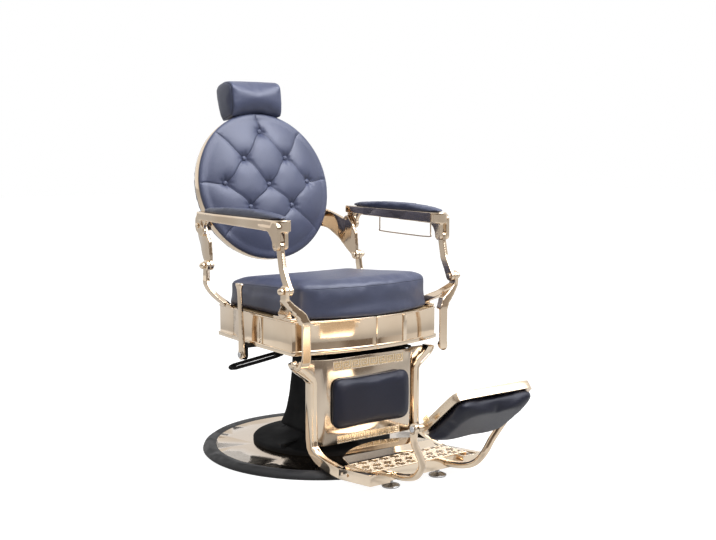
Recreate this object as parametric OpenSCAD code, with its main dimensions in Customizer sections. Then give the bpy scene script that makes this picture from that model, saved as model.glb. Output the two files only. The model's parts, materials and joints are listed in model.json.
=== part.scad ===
// Classic barber chair with a round tufted back, cast arms and a flip-over leg pad.
// Origin: middle of the base on the floor. The sitter faces -Y, so the sitter's left is +X.

/* [Base] */
// Radius of the base over its rubber rim
base_r = 360; // [320:1:420]
// Radial width of the rubber rim
rim_w = 40; // [28:1:60]
// Height of the rubber rim
rim_h = 22; // [18:1:30]
// Thickness of the steel base plate
plate_t = 12; // [8:1:15]
// Wall of the pressed metal disc
disc_wall = 2; // [1:0.5:4]
// Rise of the metal disc from its edge to its middle
disc_rise = 11; // [6:1:20]

/* [Column] */
// Radius of the black foot flange on the disc
flange_r = 208; // [180:1:240]
// Height of the foot flange with its neck
flange_h = 46; // [36:1:70]
// Height of the top of the column cover above the floor
cover_top = 298; // [270:1:330]
// Width of the column cover at its lower lip
cover_low_w = 204; // [190:1:230]
// Width of the column cover at its top
cover_top_w = 144; // [136:1:160]
// Wall of the column cover
cover_wall = 3; // [2:0.5:6]
// Outer radius of the pump sleeve inside the cover
sleeve_r = 44; // [36:1:60]
// Radius of the lifting ram
ram_r = 30; // [22:1:34]
// Lift travel of the ram
lift_travel = 150; // [100:5:160]

/* [Seat] */
// Height of the black mechanism between the column cover and the seat band
mech_h = 43; // [36:1:60]
// Height of the metal seat band
band_h = 93; // [80:1:110]
// Wall of the seat band
band_wall = 5; // [3:0.5:8]
// Width of the seat band at its front corners
band_w = 506; // [490:1:520]
// Width of the seat band at its rear corners
band_rear_w = 484; // [476:1:488]
// Distance from the column to the front corners of the band
band_front = 229; // [215:1:240]
// Bow of the band forward of its front corners
band_bow = 46; // [30:1:60]
// Distance from the column to the rear of the band
band_rear = 188; // [175:1:200]
// How far the lower lip of the band stands out
lip_out = 4; // [2:0.5:6]
// Height of the lower lip
lip_h = 12; // [8:1:18]
// Inset of the sides of the seat cushion from the sides of the band
cushion_inset = 23; // [23:1:38]
// Height of the seat cushion at its front
cushion_h = 104; // [85:1:110]
// Fall of the cushion top from its front to its rear
cushion_fall = 26; // [0:1:32]
// Length of the seat cushion along the middle
cushion_len = 448; // [420:1:452]
// Distance from the column to the front corners of the seat cushion
cushion_front = 224; // [210:1:226]
// Bow of the cushion forward of its front corners
cushion_bow = 61; // [40:1:80]
// Radius of the cushion corners seen from above
cushion_corner = 14; // [10:1:40]

/* [Arm linkage] */
// Distance from the column forward to the elbow pivots
elbow_out = 264; // [255:1:280]
// Height of the elbow pivots above the seat band
elbow_rise = 93; // [80:1:105]
// Distance from the column back to the rear pivots
rear_out = 195; // [190:1:205]
// Height of the rear pivots above the seat band
rear_rise = 120; // [108:1:130]
// Height of the arm pivots above the lower pivots
link_h = 117; // [110:1:130]
// Distance of the arm pivots behind the lower pivots
link_back = 40; // [34:1:60]
// Thickness of the linkage plates
link_t = 12; // [10:1:12]
// Radius of the pivot pins
pin_r = 5; // [4:0.5:6]
// Distance of the middle of an arm outside the seat band
arm_out = 22; // [19:1:25]
// Width of an arm rail
rail_w = 50; // [44:1:54]
// Height of an arm rail
rail_h = 32; // [26:1:36]
// Thickness of an arm pad
arm_pad_t = 20; // [14:1:30]
// Thickness of an arm pad at its ends
arm_pad_end_t = 9; // [6:1:14]
// Reach of the arm rail forward of its front pivot
rail_front = 16; // [14:1:40]
// Width of an arm rail at its rear end
rail_tail_w = 28; // [24:1:40]
// Height of the underside of the rails above the arm pivots
rail_rise = 37; // [32:1:44]
// Rise of the underside of the rails towards their rear end
rail_slope = 9; // [0:1:12]
// Drop of the towel rail below the arm rail
towel_drop = 42; // [30:1:60]
// Length of the towel rail
towel_len = 252; // [200:1:280]

/* [Back] */
// Outer radius of the round back shell
back_r = 236; // [225:1:240]
// Lean of the back from upright, in degrees
back_lean = 14; // [10:1:18]
// Height of the middle of the back above the rear pivots
back_rise = 231; // [225:1:245]
// Distance of the middle of the back behind the rear pivots
back_set = 106; // [100:1:120]
// Depth of the back shell
shell_d = 44; // [38:1:60]
// Wall of the back shell
shell_wall = 3; // [2:0.5:5]
// Crown of the back cushion in front of its rim
back_crown = 30; // [18:1:40]
// Depth of the button dents
tuft_depth = 20; // [8:1:26]
// Sideways step of the buttons
tuft_x = 76; // [60:1:80]
// Upward step of the buttons
tuft_y = 83; // [60:1:86]
// Radius of a cloth button
button_r = 8; // [6:0.5:11]

/* [Headrest] */
// Width of the headrest pillow
pillow_w = 190; // [170:1:220]
// Height of the headrest pillow
pillow_h = 125; // [110:1:140]
// Depth of the headrest pillow
pillow_d = 113; // [100:1:120]
// Travel of the headrest bar in its socket
headrest_travel = 90; // [60:5:100]

/* [Levers] */
// Length of the pump lever from its pivot to the end of its loop
pump_len = 196; // [170:1:220]
// Width of the pump lever loop
pump_w = 54; // [44:1:60]
// Radius of the pump lever rod
pump_rod_r = 5.5; // [4.5:0.5:7]
// Height of the recline lever above its pivot
recline_len = 206; // [180:1:220]
// Lean of the top of the recline lever behind its pivot
lever_back = 10; // [0:1:40]
// Distance of the recline lever's middle outside the seat band
recline_out = 22; // [20:1:28]

/* [Footrest] */
// Distance from the column to the front of the footrest panel
panel_out = 240; // [238:1:246]
// Height of the lower edge of the footrest panel above the floor
panel_low = 75; // [65:1:100]
// Height of the upper edge of the footrest panel above the floor
panel_top = 320; // [312:1:324]
// Distance from the middle to the middle of a footrest post
post_x = 183; // [176:1:190]
// Width of a footrest post
post_w = 20; // [16:1:24]
// Depth of a footrest post
post_d = 28; // [22:1:32]
// Thickness of the footrest panel
panel_t = 6; // [4:0.5:8]
// Width of the calf pad
calf_w = 280; // [260:1:290]
// Height of the calf pad
calf_h = 156; // [130:1:170]
// Thickness of the calf pad at its crown
calf_t = 24; // [16:1:34]
// Distance from the column to the front of the footplate
footplate_front = 505; // [490:1:520]
// Length of the footplate
footplate_len = 160; // [140:1:180]
// Height of the rear edge of the footplate apron
apron_top = 75; // [62:1:90]
// Bow of the apron's rear edge towards the panel
apron_bow = 55; // [20:1:60]
// Height of the foot glides
glide_h = 8; // [5:1:12]

/* [Leg pad] */
// Distance from the column to the leg pad hinge
tray_out = 636; // [620:1:650]
// Height of the leg pad hinge above the floor
tray_z = 210; // [200:1:225]
// Width of the leg pad tray
tray_w = 258; // [230:1:262]
// Length of the leg pad tray
tray_len = 164; // [130:1:170]
// Reach of the tray behind its hinge
tray_heel = 19; // [16:1:24]
// Rise of the leg pad tray from level, in degrees
tray_tilt = 40; // [30:1:50]
// Radius of the swan-neck arms
neck_r = 10; // [8:0.5:11]

/* [Hidden] */
$fn = 64;

// Colours as they look
metal_c = [0.84, 0.74, 0.62];
black_c = [0.07, 0.07, 0.08];
steel_c = [0.6, 0.6, 0.62];
leather_c = [0.30, 0.33, 0.46];
navy_c = [0.13, 0.15, 0.22];

// Clearances and the overrun of cuts
run_gap = 0.05;    // radial, shaft in bore
face_gap = 0.4;    // between plates that turn past each other
soft_gap = 0.5;    // round a cushion
over = 1;          // cuts run past faces by this much
edge_r = 4;        // small rounding of cast edges

// Heights and pivots
band_z = cover_top + mech_h;
board_z = band_z + band_h;
cushion_w = band_w - 2 * cushion_inset;
arm_x = band_w / 2 + arm_out;
recline_x = band_w / 2 + recline_out;
elbow_y = -elbow_out;
elbow_z = board_z + elbow_rise;
rear_y = rear_out;
rear_z = board_z + rear_rise;
arm_fy = elbow_y + link_back;
arm_fz = elbow_z + link_h;
arm_ry = rear_y + link_back;
arm_rz = rear_z + link_h;
back_y = rear_y + back_set;
back_z = rear_z + back_rise;

// Linkage plates side by side, outwards along X
post_x0 = arm_x + 0.25 * link_t;
post_x1 = post_x0 + link_t;
elbow_x1 = post_x1 + face_gap + link_t;
horn_step = 1;     // of the horn's outer face past the middle of the arm
horn_x1 = arm_x + horn_step;
horn_x0 = horn_x1 - link_t;
rear_x0 = horn_x1 + face_gap;
rear_x1 = rear_x0 + link_t;
boss_r = 2.6 * pin_r;

// Interpolation and small vector helpers
function unit(v) = v / norm(v);
function mix(a, b, t) = a + (b - a) * t;
function bend(a, b, c, d, t) =
  0.5 * (2 * b + (c - a) * t + (2 * a - 5 * b + 4 * c - d) * t * t + (3 * b - a - 3 * c + d) * t * t * t);
function smooth(p, n) = [
  for (i = [0 : len(p) - 2])
    for (k = [0 : n - 1])
      bend(p[max(i - 1, 0)], p[i], p[i + 1], p[min(i + 2, len(p) - 1)], k / n),
  p[len(p) - 1]
];
function slope(p, i) = unit(p[min(i + 1, len(p) - 1)] - p[max(i - 1, 0)]);
function signed_power(v, n) = sign(v) * pow(abs(v), n);
// Squared oval of full size w by d, count points anticlockwise
function oval(w, d, n, count) = [
  for (i = [0 : count - 1])
    let (a = 360 * i / count)
      [w / 2 * signed_power(cos(a), 2 / n), d / 2 * signed_power(sin(a), 2 / n)]
];
function lifted(ring, z) = [for (p = ring) [p[0], p[1], z]];
// Rings of an elliptic section along a path; up fixes how the section is turned
function tube_rings(p, rx, ry, up, sides) = [
  for (i = [0 : len(p) - 1])
    let (t = slope(p, i), s = unit(cross(up, t)), v = cross(t, s))
      [for (k = [0 : sides - 1])
        p[i] + s * rx[i] * cos(360 * k / sides) + v * ry[i] * sin(360 * k / sides)]
];
function even(p, r) = [for (q = p) r];

// Middle of a ring
function centre(ring) = [for (i = [0 : 2]) [for (p = ring) p[i]] * even(ring, 1) / len(ring)];

// Closed solid through rings that run anticlockwise about the direction they follow
module skin(rings) {
  n = len(rings[0]);
  m = len(rings);
  points = concat([for (ring = rings) for (p = ring) p], [centre(rings[0]), centre(rings[m - 1])]);
  sides = [
    for (i = [0 : m - 2])
      for (k = [0 : n - 1])
        let (a = i * n + k, b = i * n + (k + 1) % n)
          for (f = [[a, a + n, b + n], [a, b + n, b]]) f
  ];
  low = [for (k = [0 : n - 1]) [m * n, k, (k + 1) % n]];
  high = [for (k = [0 : n - 1]) let (a = (m - 1) * n) [m * n + 1, a + (k + 1) % n, a + k]];
  polyhedron(points, concat(low, high, sides), convexity = 6);
}

// Outlines drawn in (Y, Z), (X, Z) and (X, Y)
module side_plate(x0, x1) translate([x0, 0, 0]) rotate([90, 0, 90]) linear_extrude(x1 - x0) children();
module front_plate(y0, y1) translate([0, y1, 0]) rotate([90, 0, 0]) linear_extrude(y1 - y0) children();
module plan_plate(z0, z1) translate([0, 0, z0]) linear_extrude(z1 - z0) children();
module cross_rod(x0, x1, y, z, r) translate([x0, y, z]) rotate([0, 90, 0]) cylinder(r = r, h = x1 - x0);
module on_side(side) {
  if (side > 0) children();
  else mirror([1, 0, 0]) children();
}
module both() {
  children();
  mirror([1, 0, 0]) children();
}

// Tapered bar with round ends from a to b
module link2d(a, ra, b, rb) {
  turn = atan2(b[1] - a[1], b[0] - a[0]);
  lead = acos((ra - rb) / norm(b - a));
  function rim(c, r, s) = c + r * [cos(turn + s * lead), sin(turn + s * lead)];
  translate(a) circle(r = ra, $fn = 32);
  translate(b) circle(r = rb, $fn = 32);
  polygon([rim(a, ra, 1), rim(a, ra, -1), rim(b, rb, -1), rim(b, rb, 1)]);
}
module chain2d(p, r) {
  for (i = [0 : len(p) - 2]) link2d(p[i], r[i], p[i + 1], r[i + 1]);
}
// Strip along a curve with square ends, r[i] to each side
module strip2d(p, r) {
  function side(i, s) = let (t = slope(p, i)) p[i] + s * r[i] * [-t[1], t[0]];
  polygon(concat([for (i = [0 : len(p) - 1]) side(i, 1)], [for (i = [len(p) - 1 : -1 : 0]) side(i, -1)]));
}

// Base
module base_rim() color(black_c) {
  inner = base_r - rim_w;
  rotate_extrude($fn = 128)
    polygon([[inner, 0], [base_r - edge_r, 0], [base_r, edge_r], [base_r - edge_r, rim_h - 2 * edge_r],
             [base_r - 4 * edge_r, rim_h], [inner, rim_h - edge_r]]);
}

module base_plate() color(steel_c) {
  difference() {
    cylinder(r = base_r - rim_w, h = plate_t, $fn = 128);
    translate([0, 0, -over]) cylinder(r = sleeve_r - edge_r, h = plate_t + 2 * over);
  }
}

disc_r = base_r - rim_w;
disc_edge_z = rim_h - edge_r;
disc_top_z = disc_edge_z + disc_rise;
// Radius of the ball that the domed disc is part of, and the height of its top at a radius
dome_r = (disc_r * disc_r + disc_rise * disc_rise) / (2 * disc_rise);
function dome_z(r) = disc_top_z - dome_r + sqrt(dome_r * dome_r - r * r);
bore_r = sleeve_r + face_gap;
flange_in_r = flange_r - 4 * cover_wall;

module base_disc() color(metal_c) {
  radii = [bore_r, mix(bore_r, flange_in_r, 0.5), mix(bore_r, flange_in_r, 0.75), flange_in_r, flange_r,
           mix(flange_r, disc_r, 0.35), mix(flange_r, disc_r, 0.65), disc_r];
  last = len(radii) - 1;
  inside = disc_r - disc_wall;
  rotate_extrude($fn = 128)
    polygon(concat([[disc_r, plate_t]], [for (i = [last : -1 : 0]) [radii[i], dome_z(radii[i])]],
                   [for (r = [for (i = [0 : last - 1]) radii[i]]) [r, dome_z(r) - disc_wall]],
                   [[inside, dome_z(disc_r) - disc_wall], [inside, plate_t]]));
}

flange_edge_h = 14;
cover_lap = 10;    // the cover hides the top of the flange by this much
neck_r0 = cover_low_w / 2 - cover_wall - soft_gap;
rib_w = 14;

module foot_flange() color(black_c) {
  low = dome_z(flange_r);
  top = disc_top_z + flange_h;
  wall = 2 * cover_wall;
  sweep_shares = [[0, 0], [0.3, 0.05], [0.62, 0.16], [0.84, 0.34], [0.96, 0.55], [1, 0.7], [1, 1]];
  run = flange_r - edge_r - neck_r0;
  rise = top - low - flange_edge_h;
  outer = [for (s = sweep_shares) [flange_r - edge_r - s[0] * run, low + flange_edge_h + s[1] * rise]];
  last = len(sweep_shares) - 1;
  inner = [for (i = [last : -1 : 0]) outer[i] - [wall, i == last ? 0 : wall]];
  rotate_extrude($fn = 96)
    polygon(concat([[flange_r, low], [flange_r, low + flange_edge_h - edge_r]], outer, inner,
                   [[flange_in_r, dome_z(flange_in_r)]]));
  // Radial ribs on the front left of the flange
  for (a = [200, 232])
    rotate([0, 0, a]) translate([neck_r0 + rib_w, -rib_w / 2, disc_top_z])
      cube([flange_r - neck_r0 - 2 * rib_w, rib_w, flange_edge_h + edge_r]);
}

cover_low = disc_top_z + flange_h - cover_lap;
cover_shape_power = 5;

module cover_solid(inset, low, high) {
  // Width shares from the lower lip to the top, with a slight waist below the lip
  levels_shares = [[0, 1], [0.05, 0.99], [0.08, 0.86], [0.21, 0.57], [0.4, 0.33], [0.72, 0.09], [1, 0]];
  skin([for (s = levels_shares)
    let (w = mix(cover_top_w, cover_low_w, s[1]) - 2 * inset)
      lifted(oval(w, w, cover_shape_power, 40), mix(low, high, s[0]))]);
}

module column_cover() color(black_c) {
  difference() {
    cover_solid(0, cover_low, cover_top);
    translate([0, 0, -over]) cover_solid(cover_wall, cover_low, cover_top - cover_wall);
    cylinder(r = sleeve_r + soft_gap, h = cover_top + over);
  }
}

module pump_sleeve() color(steel_c) {
  difference() {
    translate([0, 0, plate_t]) cylinder(r = sleeve_r, h = cover_top - plate_t);
    translate([0, 0, plate_t - over]) cylinder(r = ram_r + bush_t, h = cover_top);
  }
}

bush_t = 5;
bush_h = 60;

module sleeve_bush() color(black_c) {
  difference() {
    translate([0, 0, cover_top - bush_h]) cylinder(r = ram_r + bush_t, h = bush_h);
    translate([0, 0, cover_top - bush_h - over]) cylinder(r = ram_r + run_gap, h = bush_h + 2 * over);
  }
}

// Lift and mechanism
ram_low = cover_top - bush_h - lift_travel - ram_r;
head_r = 62;
head_h = 20;

module ram() color(steel_c) {
  translate([0, 0, ram_low]) cylinder(r = ram_r, h = cover_top + face_gap + head_h / 2 - ram_low);
}

pump_px = 96;
pump_pz = cover_top + face_gap + head_h / 2;
pump_turn = 163;
lug_t = 10;

// Put things in the pump lever's own frame: pivot at the origin, lever along +X
module at_pump() translate([-pump_px, 0, pump_pz]) rotate([0, 0, pump_turn]) children();

module pump_head() color(black_c) {
  z0 = cover_top + face_gap;
  difference() {
    union() {
      translate([0, 0, z0]) cylinder(r = head_r, h = head_h);
      at_pump() for (s = [-1, 1])
        translate([-head_r * 0.9, s * (lug_t + face_gap) - lug_t / 2, -head_h / 2])
          cube([head_r * 0.9 + boss_r, lug_t, head_h]);
    }
    translate([0, 0, z0 - over]) cylinder(r = ram_r + run_gap, h = head_h / 2 + over);
    at_pump() translate([0, -2 * lug_t, 0]) rotate([-90, 0, 0]) cylinder(r = pin_r, h = 4 * lug_t);
  }
}

chassis_x = 150;
channel_w = 44;
chassis_z = cover_top + face_gap + head_h;
web_t = 6;

module chassis() color(black_c) {
  // Two long channels and two cross plates between the pump head and the seat board
  top = board_z - board_t;
  difference() {
    union() {
      both() translate([chassis_x - channel_w / 2, -band_front + 2 * band_wall, chassis_z])
        cube([channel_w, band_front + band_rear - 4 * band_wall, top - chassis_z]);
      for (y = [-head_r, head_r - channel_w])
        translate([-chassis_x, y, chassis_z]) cube([2 * chassis_x, channel_w, band_z - chassis_z + web_t]);
      // Front plate that carries the footrest
      translate([-chassis_x, -band_front - panel_back, chassis_z - web_t])
        cube([2 * chassis_x, panel_back + 3 * channel_w, web_t]);
    }
    both() translate([chassis_x - channel_w / 2 + web_t, -band_front, chassis_z + web_t])
      cube([channel_w, band_front + band_rear + over, top - chassis_z - 2 * web_t]);
    footrest_panel();
  }
}

board_t = 12;
board_gap = 1;

// Plan outline of the band, drawn in by inset
module band_plan(inset) {
  bow_r = (band_w * band_w / 4 + band_bow * band_bow) / (2 * band_bow);
  reach = band_front + band_bow;
  intersection() {
    polygon([[-band_w / 2 + inset, -2 * reach], [band_w / 2 - inset, -2 * reach], [band_w / 2 - inset, 0],
             [band_rear_w / 2 - inset, band_rear - inset], [-band_rear_w / 2 + inset, band_rear - inset],
             [-band_w / 2 + inset, 0]]);
    union() {
      translate([0, bow_r - reach]) circle(r = bow_r - inset, $fn = 180);
      translate([-band_w, 0]) square([2 * band_w, band_rear + over]);
    }
  }
}

cover_front = 100;

module band_shell() {
  difference() {
    union() {
      plan_plate(band_z, board_z) band_plan(0);
      plan_plate(band_z, band_z + lip_h) band_plan(-lip_out);
      plan_plate(board_z - lip_h / 3, board_z) band_plan(-lip_out / 2);
    }
    plan_plate(band_z - over, board_z + over) band_plan(band_wall);
  }
}

module band_part(side) color(metal_c) {
  reach = band_w + band_front;
  on_side(side) intersection() {
    band_shell();
    translate([face_gap / 2, -reach, 0]) cube([reach, reach + cover_front - face_gap, board_z]);
  }
}
module band_left() band_part(1);
module band_right() band_part(-1);

module rear_cover() color(metal_c) {
  intersection() {
    band_shell();
    translate([-band_w, cover_front, 0]) cube([2 * band_w, band_rear, board_z]);
  }
}

strap_y = 62;
strap_w = 14;
strap_t = 3;
strap_x = 108;
screw_r = 5;

module band_straps() color(metal_c) {
  z0 = band_z + lip_h;
  h = band_h - 1.5 * lip_h;
  bow_r = (band_w * band_w / 4 + band_bow * band_bow) / (2 * band_bow);
  strap_yf = band_front + band_bow - bow_r + sqrt(bow_r * bow_r - strap_x * strap_x);
  both() translate([band_w / 2, -strap_y - strap_w, z0]) {
    cube([strap_t, strap_w, h]);
    translate([strap_t, strap_w / 2, 2 * screw_r]) rotate([0, 90, 0])
      cylinder(r1 = screw_r, r2 = screw_r / 2, h = strap_t);
  }
  difference() {
    translate([strap_x, -strap_yf, z0]) rotate([0, 0, asin(strap_x / bow_r)])
      translate([-strap_w / 2, -strap_t, 0]) cube([strap_w, 2 * strap_t, h]);
    plan_plate(band_z, board_z) band_plan(0);
  }
}

module seat_board() color(steel_c) {
  plan_plate(board_z - board_t, board_z) band_plan(band_wall + board_gap);
}

// Outline of the seat cushion drawn in by inset: round corners, straight sides and a bowed front
function turn_points(c, r, a0) = [for (k = [0 : 3]) c + r * [cos(a0 + 30 * k), sin(a0 + 30 * k)]];
function inner_points(a, b, n) = [for (k = [1 : n - 1]) mix(a, b, k / n)];
function cushion_outline(inset) =
  let (
    x = cushion_w / 2 - inset, front = -cushion_front + inset,
    rear = cushion_len - cushion_front - cushion_bow - inset,
    r = max(cushion_corner - inset, edge_r)
  ) concat(
    turn_points([x - r, rear - r], r, 0), inner_points([x - r, rear], [r - x, rear], 5),
    turn_points([r - x, rear - r], r, 90), inner_points([-x, rear - r], [-x, front + r], 5),
    turn_points([r - x, front + r], r, 180), inner_points([r - x, front], [x - r, front], 12),
    turn_points([x - r, front + r], r, 270), inner_points([x, front + r], [x, rear - r], 5)
  );

// Ring of the cushion at a height share, with the front bowed forward and the top falling to the rear
function cushion_ring(inset, share) =
  let (long = cushion_len - cushion_bow, mid_y = long / 2 - cushion_front)
    [for (p = cushion_outline(inset))
      let (u = 2 * p[0] / cushion_w, fore = max(0, 2 * (mid_y - p[1]) / long),
           y = p[1] - cushion_bow * (1 - u * u) * pow(fore, 2),
           fall = cushion_fall * (y + cushion_front) / long)
        [p[0], y, board_z + soft_gap + share * (cushion_h - fall)]];

module seat_cushion() color(leather_c) {
  // Inset in shares of the corner radius and height share: foot, drawn-in side, welt and crown
  profile_shares = [[0.5, 0], [0.1, 0.03], [0, 0.1], [0.3, 0.35], [0.3, 0.6], [0, 0.84], [0.1, 0.9],
                    [0.5, 0.955], [1.4, 0.985], [4, 1], [7, 1.01], [10, 1.015]];
  skin([for (s = profile_shares) cushion_ring(s[0] * cushion_corner, s[1])]);
}

// Cast brackets between the seat band and the arm linkage
bar_y = elbow_y - link_t;
bar_x = band_w / 2 - link_t;
bar_w = 28;
bar_d = 20;
curl_r = 14;
curl_y = bar_y + curl_r;
curl_z = band_z - curl_r + edge_r / 2;
elbow_x = post_x1 + face_gap + link_t / 2;
foot_len = 90;
foot_w = 24;
foot_t = 9;
foot_x = cushion_w / 2 + 2 * soft_gap;
foot_y = -band_front + edge_r;

function between(a, b, s) = [mix(a[0], b[0], s[0]), mix(a[1], b[1], s[1])];

module front_bracket_solid() {
  elbow = [elbow_y, elbow_z];
  knee = [bar_y, board_z];
  knee_shares = [[0, 0.28], [0.6, 0.62], [1, 0.95]];
  heel_shares = [[0.36, 0.55], [0.12, 0.86]];
  heel = [foot_y + foot_len / 2, board_z + foot_t / 2];
  curl = [for (a = [180 : 30 : 330]) [curl_y, curl_z] + curl_r * [cos(a), sin(a)]];
  side_path = concat([elbow], [for (s = knee_shares) between(elbow, knee, s)], curl);
  side_shares = [0.78, 0.66, 0.55, 0.5, 0.45, 0.45, 0.45, 0.48, 0.52, 0.56];
  elbow_f = [elbow_x, elbow_z];
  knee_f = [bar_x, board_z];
  front_knee_shares = [[0, 0.26], [0.35, 0.5], [0.82, 0.76], [1, 1]];
  front_path = concat([elbow_f + [0, boss_r * 1.5], elbow_f],
                      [for (s = front_knee_shares) between(elbow_f, knee_f, s)],
                      [[bar_x, band_z], [bar_x + curl_r / 2, curl_z - 2 * curl_r]]);
  front_shares = [0.21, 0.21, 0.25, 0.36, 0.48, 0.5, 0.5, 0.52];
  // Main bar: down from the elbow, in front of the band corner, then curled back under it
  intersection() {
    side_plate(0, 2 * arm_x) chain2d(side_path, side_shares * bar_d);
    front_plate(2 * bar_y, 0) chain2d(front_path, front_shares * bar_w);
  }
  // Heel: back and inwards from the neck to a foot on top of the band
  intersection() {
    side_plate(0, 2 * arm_x)
      chain2d([side_path[1], between(heel, side_path[1], heel_shares[0] + [0.3, 0]), heel + [0, foot_t]],
              [bar_d * 0.62, bar_d * 0.62, bar_d * 0.5]);
    front_plate(2 * bar_y, 0)
      chain2d([elbow_f, between(elbow_f, knee_f, front_knee_shares[0]),
               [foot_x + 0.8 * foot_w, board_z + 2.5 * foot_t], [foot_x + foot_w / 2, board_z - foot_t]],
              [0.21, 0.25, 0.4, 0.42] * bar_w);
  }
  translate([foot_x, foot_y, board_z]) cube([foot_w, foot_len, foot_t]);
  cross_rod(bar_x - 0.1 * bar_w, bar_x + 0.95 * bar_w, curl_y + curl_r * cos(330), curl_z + curl_r * sin(330),
            0.6 * curl_r);
}

module front_bracket(side) color(metal_c) on_side(side) difference() {
  front_bracket_solid();
  cross_rod(0, post_x1 + face_gap, elbow_y, elbow_z, 1.5 * boss_r);
  cross_rod(0, 2 * arm_x, elbow_y, elbow_z, pin_r);
  // Seat on the band, clear of its walls
  translate([0, -band_front - band_bow - lip_out, 0]) cube([foot_x + foot_w, band_front + band_bow, board_z]);
}
module front_bracket_left() front_bracket(1);
module front_bracket_right() front_bracket(-1);

// Rear bracket: from the pivot outwards and down, then in to a foot on the band
rear_foot_y = rear_y - 0.6 * foot_len;

module rear_bracket(side) color(metal_c) on_side(side) difference() {
  pivot = [rear_y, rear_z];
  foot = [rear_foot_y, board_z + foot_t / 2];
  mid = (rear_x0 + rear_x1) / 2;
  pivot_f = [mid, rear_z];
  foot_f = [foot_x + foot_w / 2, board_z + foot_t / 2];
  side_bend_shares = [[0.03, 0.25], [0.13, 0.5], [0.53, 0.76]];
  front_bend_shares = [[-0.01, 0.25], [-0.05, 0.5], [0.3, 0.76], [0.8, 0.96]];
  eye_r = 0.78 * bar_d;
  side_bends = [for (s = side_bend_shares) between(pivot, foot, s)];
  side_path = smooth(concat([pivot], side_bends, [foot - [foot_t, 0]]), 3);
  front_bends = [for (s = front_bend_shares) between(pivot_f, foot_f, s)];
  front_curve = smooth(concat([pivot_f + [0, eye_r], pivot_f], front_bends, [foot_f - [0, foot_t]]), 3);
  front_path = [for (p = front_curve) [p[1] > rear_z ? mid : p[0], p[1]]];
  last = len(front_path) - 1;
  union() {
    intersection() {
      side_plate(0, 2 * arm_x) {
        translate(pivot) circle(r = eye_r);
        strip2d(side_path, even(side_path, 0.6 * bar_d));
      }
      front_plate(0, 2 * rear_y)
        strip2d(front_path, [for (i = [0 : last]) link_t * mix(0.5, 0.9, pow(i / last, 3))]);
    }
    translate([foot_x, rear_foot_y - foot_len / 3, board_z]) cube([0.85 * foot_w, 0.7 * foot_len, foot_t]);
  }
  cross_rod(0, 2 * arm_x, rear_y, rear_z, pin_r);
  translate([0, 0, board_z - bar_w]) cube([2 * arm_x, band_rear + bar_w, bar_w]);
}
module rear_bracket_left() rear_bracket(1);
module rear_bracket_right() rear_bracket(-1);

cap_r = 2 * pin_r;
head_t = 4;

module capped_pin(x0, x1, y, z) {
  cross_rod(x0 - head_t, x1 + face_gap + cap_r / 2, y, z, pin_r);
  cross_rod(x0 - face_gap - head_t, x0 - face_gap, y, z, cap_r * 0.9);
  translate([x1 + face_gap + cap_r * 0.6, y, z]) intersection() {
    sphere(r = cap_r);
    translate([-cap_r * 0.6, -cap_r, -cap_r]) cube(2 * cap_r);
  }
}

module elbow_pins() color(metal_c) both() capped_pin(post_x0, elbow_x1, elbow_y, elbow_z);
module rear_pins() color(metal_c) both() capped_pin(horn_x0, rear_x1, rear_y, rear_z);

// Front posts of the linkage
module post(side) color(metal_c) on_side(side) difference() {
  low = [elbow_y, elbow_z];
  high = [arm_fy, arm_fz];
  bend_shares = [[0.3, 0.19], [0.74, 0.47], [0.98, 0.85]];
  side_plate(post_x0, post_x1)
    chain2d(concat([low], [for (s = bend_shares) between(low, high, s)], [high]),
            [1.15, 1, 0.95, 0.92, 0.95] * boss_r);
  cross_rod(0, 2 * arm_x, elbow_y, elbow_z, pin_r + run_gap);
  cross_rod(0, 2 * arm_x, arm_fy, arm_fz, pin_r + run_gap);
}
module post_left() post(1);
module post_right() post(-1);

// Arms
rail_z = arm_fz + rail_rise;
rail_top = rail_z + rail_h;
rail_fy = arm_fy - rail_front;
tail_r = rail_tail_w / 2;
rail_ry = arm_ry + tail_r;
rail_wall = 6;
rail_roof = 8;
nose_r = rail_w / 2 + edge_r / 2;
taper_y = rail_ry - 9 * tail_r;
knuckle_r = 0.55 * rail_h;
knuckle_y = arm_ry - edge_r / 2;

// Half width of a rail at a place along it
function rail_half(y) = mix(rail_w / 2, tail_r, max(0, min(1, (y - taper_y) / (rail_ry - tail_r - taper_y))));

module rail_plan(inset) chain2d(
  [[arm_x, rail_fy + nose_r], [arm_x, rail_fy + 4 * nose_r], [arm_x, taper_y], [arm_x, rail_ry - tail_r]],
  [nose_r - inset, rail_w / 2 - inset, rail_w / 2 - inset, tail_r - inset]);

// Web that curves in the inner corner between a knuckle and the underside of a rail; run is signed
module web2d(y, z, run) {
  rise = rail_z + rail_slope + edge_r - z;
  polygon(concat([for (a = [0 : 15 : 90]) [y + run * (1 - cos(a)), z + rise * sin(a)]], [[y, z + rise]]));
}

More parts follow.
